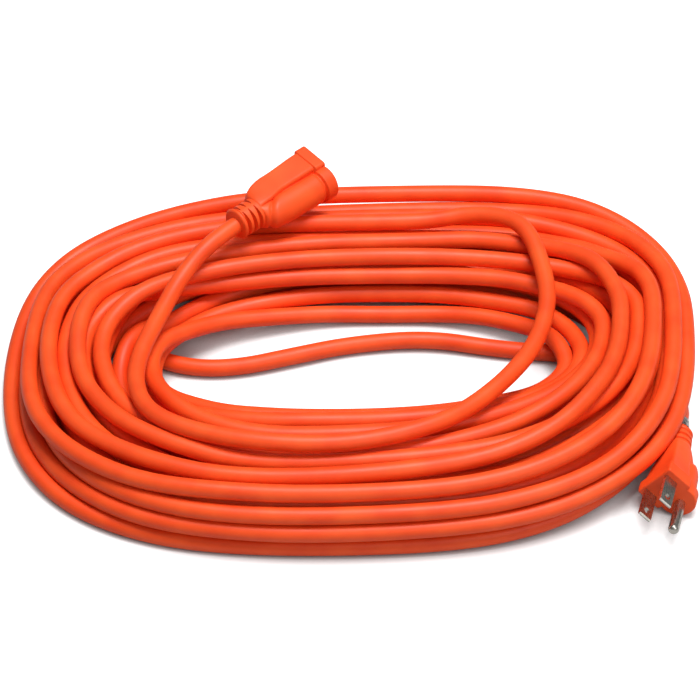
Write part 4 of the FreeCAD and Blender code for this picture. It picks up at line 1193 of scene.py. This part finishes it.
@dataclass
class Studio:
    """The pale floor, the lamps, the white room and the camera.

    The camera's sizes are in millimetres; the floor's, the lamps' and the stretch that the camera
    sees are in metres.
    """

    elevation: float = 42.0
    distance: float = 1400.0
    focal_pixels: float = 3080.0
    picture: float = 700.0
    sensor: float = 36.0
    seen_from: tuple[float, float] = (0.05, 20.0)
    aim: tuple[float, float, float] = (-2.0, 8.9, 15.0)
    floor: float = 4.0
    paper: str = "B8B8B8"
    paper_seen: str = "C8C8C8"
    # How far the floor's painted shadow reaches, and the openness over which its glow comes back.
    shadow_reach: float = 0.018
    shadow: tuple[float, float] = (0.3, 0.8)
    glow: float = 0.76
    lamps: tuple[tuple[str, float, float, tuple[float, float, float]], ...] = (
        ("key", 1.0, 41.0, (0.25, 0.0, 1.9)), ("fill", 1.6, 11.0, (0.9, -1.3, 1.3)))
    room: float = 0.18

    def build_camera(self) -> None:
        """Sets the camera at the photograph's viewing angle."""
        camera = bpy.data.cameras.new("camera")
        camera.sensor_width = self.sensor
        camera.lens = self.focal_pixels / self.picture * self.sensor
        camera.clip_start, camera.clip_end = self.seen_from
        tilt = math.radians(self.elevation)
        eye = Vector(self.aim) + Vector((0, -math.cos(tilt), math.sin(tilt))) * self.distance
        holder = add_object("camera", camera)
        holder.location = eye * MM
        holder.rotation_euler = (math.pi / 2 - tilt, 0, 0)
        bpy.context.scene.camera = holder

    def build_floor(self) -> None:
        """Lays the floor, which is white to the camera and keeps the cord's shadow: a real one on its
        paper, and a painted shadow where its glow dims near the cord.
        """
        mesh = bpy.data.meshes.new("floor")
        side = self.floor
        corners = [(-side, -side, 0), (side, -side, 0), (side, side, 0), (-side, side, 0)]
        mesh.from_pydata(corners, [], [(0, 1, 2, 3)])
        floor = add_object("floor", mesh)
        material = bpy.data.materials.new("white_studio_floor")
        material.use_nodes = True
        tree = material.node_tree
        tree.nodes.clear()
        paper = add_node(tree, "ShaderNodeBsdfDiffuse", values={"Color": linear(self.paper)})
        seen = add_node(tree, "ShaderNodeBsdfDiffuse", values={"Color": linear(self.paper_seen)})
        # The glow dims where the cord hides the sky: painted shadow round and beneath the cord.
        open_sky = add_node(tree, "ShaderNodeAmbientOcclusion", {"samples": 8},
                            {"Distance": self.shadow_reach})
        painted_shadow = add_node(tree, "ShaderNodeMapRange", values={
            "From Min": self.shadow[0], "From Max": self.shadow[1], "To Max": self.glow},
            links={"Value": open_sky.outputs["AO"]})
        glow = add_node(tree, "ShaderNodeEmission", values={"Color": (1, 1, 1, 1)},
                        links={"Strength": painted_shadow.outputs["Result"]})
        both = add_node(tree, "ShaderNodeAddShader", links={0: seen.outputs[0], 1: glow.outputs[0]})
        rays = add_node(tree, "ShaderNodeLightPath")
        choice = add_node(tree, "ShaderNodeMixShader", links={
            "Fac": rays.outputs["Is Camera Ray"], 1: paper.outputs[0], 2: both.outputs[0]})
        add_node(tree, "ShaderNodeOutputMaterial", links={"Surface": choice.outputs[0]})
        mesh.materials.append(material)

    def build_lamps(self) -> None:
        """Hangs two large soft lamps and lights the room."""
        for name, size, power, place in self.lamps:
            lamp = bpy.data.lights.new(name, "AREA")
            lamp.shape = "DISK"
            lamp.size = size
            lamp.energy = power
            holder = add_object(name, lamp)
            holder.location = place
            holder.rotation_euler = (-Vector(place)).to_track_quat("-Z", "Y").to_euler()
        world = bpy.data.worlds.new("studio")
        world.use_nodes = True
        tree = world.node_tree
        tree.nodes.clear()
        rays = add_node(tree, "ShaderNodeLightPath")
        strength = add_node(tree, "ShaderNodeMapRange", values={"To Min": self.room, "To Max": 1.0},
                            links={"Value": rays.outputs["Is Camera Ray"]})
        room = add_node(tree, "ShaderNodeBackground", values={"Color": (1, 1, 1, 1)},
                        links={"Strength": strength.outputs["Result"]})
        add_node(tree, "ShaderNodeOutputWorld", links={"Surface": room.outputs[0]})
        bpy.context.scene.world = world

    def build(self) -> None:
        """Builds the whole studio."""
        self.build_camera()
        self.build_floor()
        self.build_lamps()
        bpy.context.scene.view_settings.view_transform = "Standard"


def main() -> None:
    """Builds the cord, dresses its ends and sets the studio."""
    logging.basicConfig(level=logging.INFO, format="%(name)s: %(message)s")
    Studio().build()
    cord = Cord()
    piece, length, line = cord.build(JACKET)
    hand_in(piece, "jacket", "cord_coil", "plug_lead", "connector_lead")
    shells = MouldedEnds().build()
    band = FoilBand().build(line, FOIL.material())
    hand_in(band, "label", "cord_label")
    tuple(PLUG_END.behind(cord.plug_exit - cord.inside) * MM)


if __name__ == "__main__":
    main()
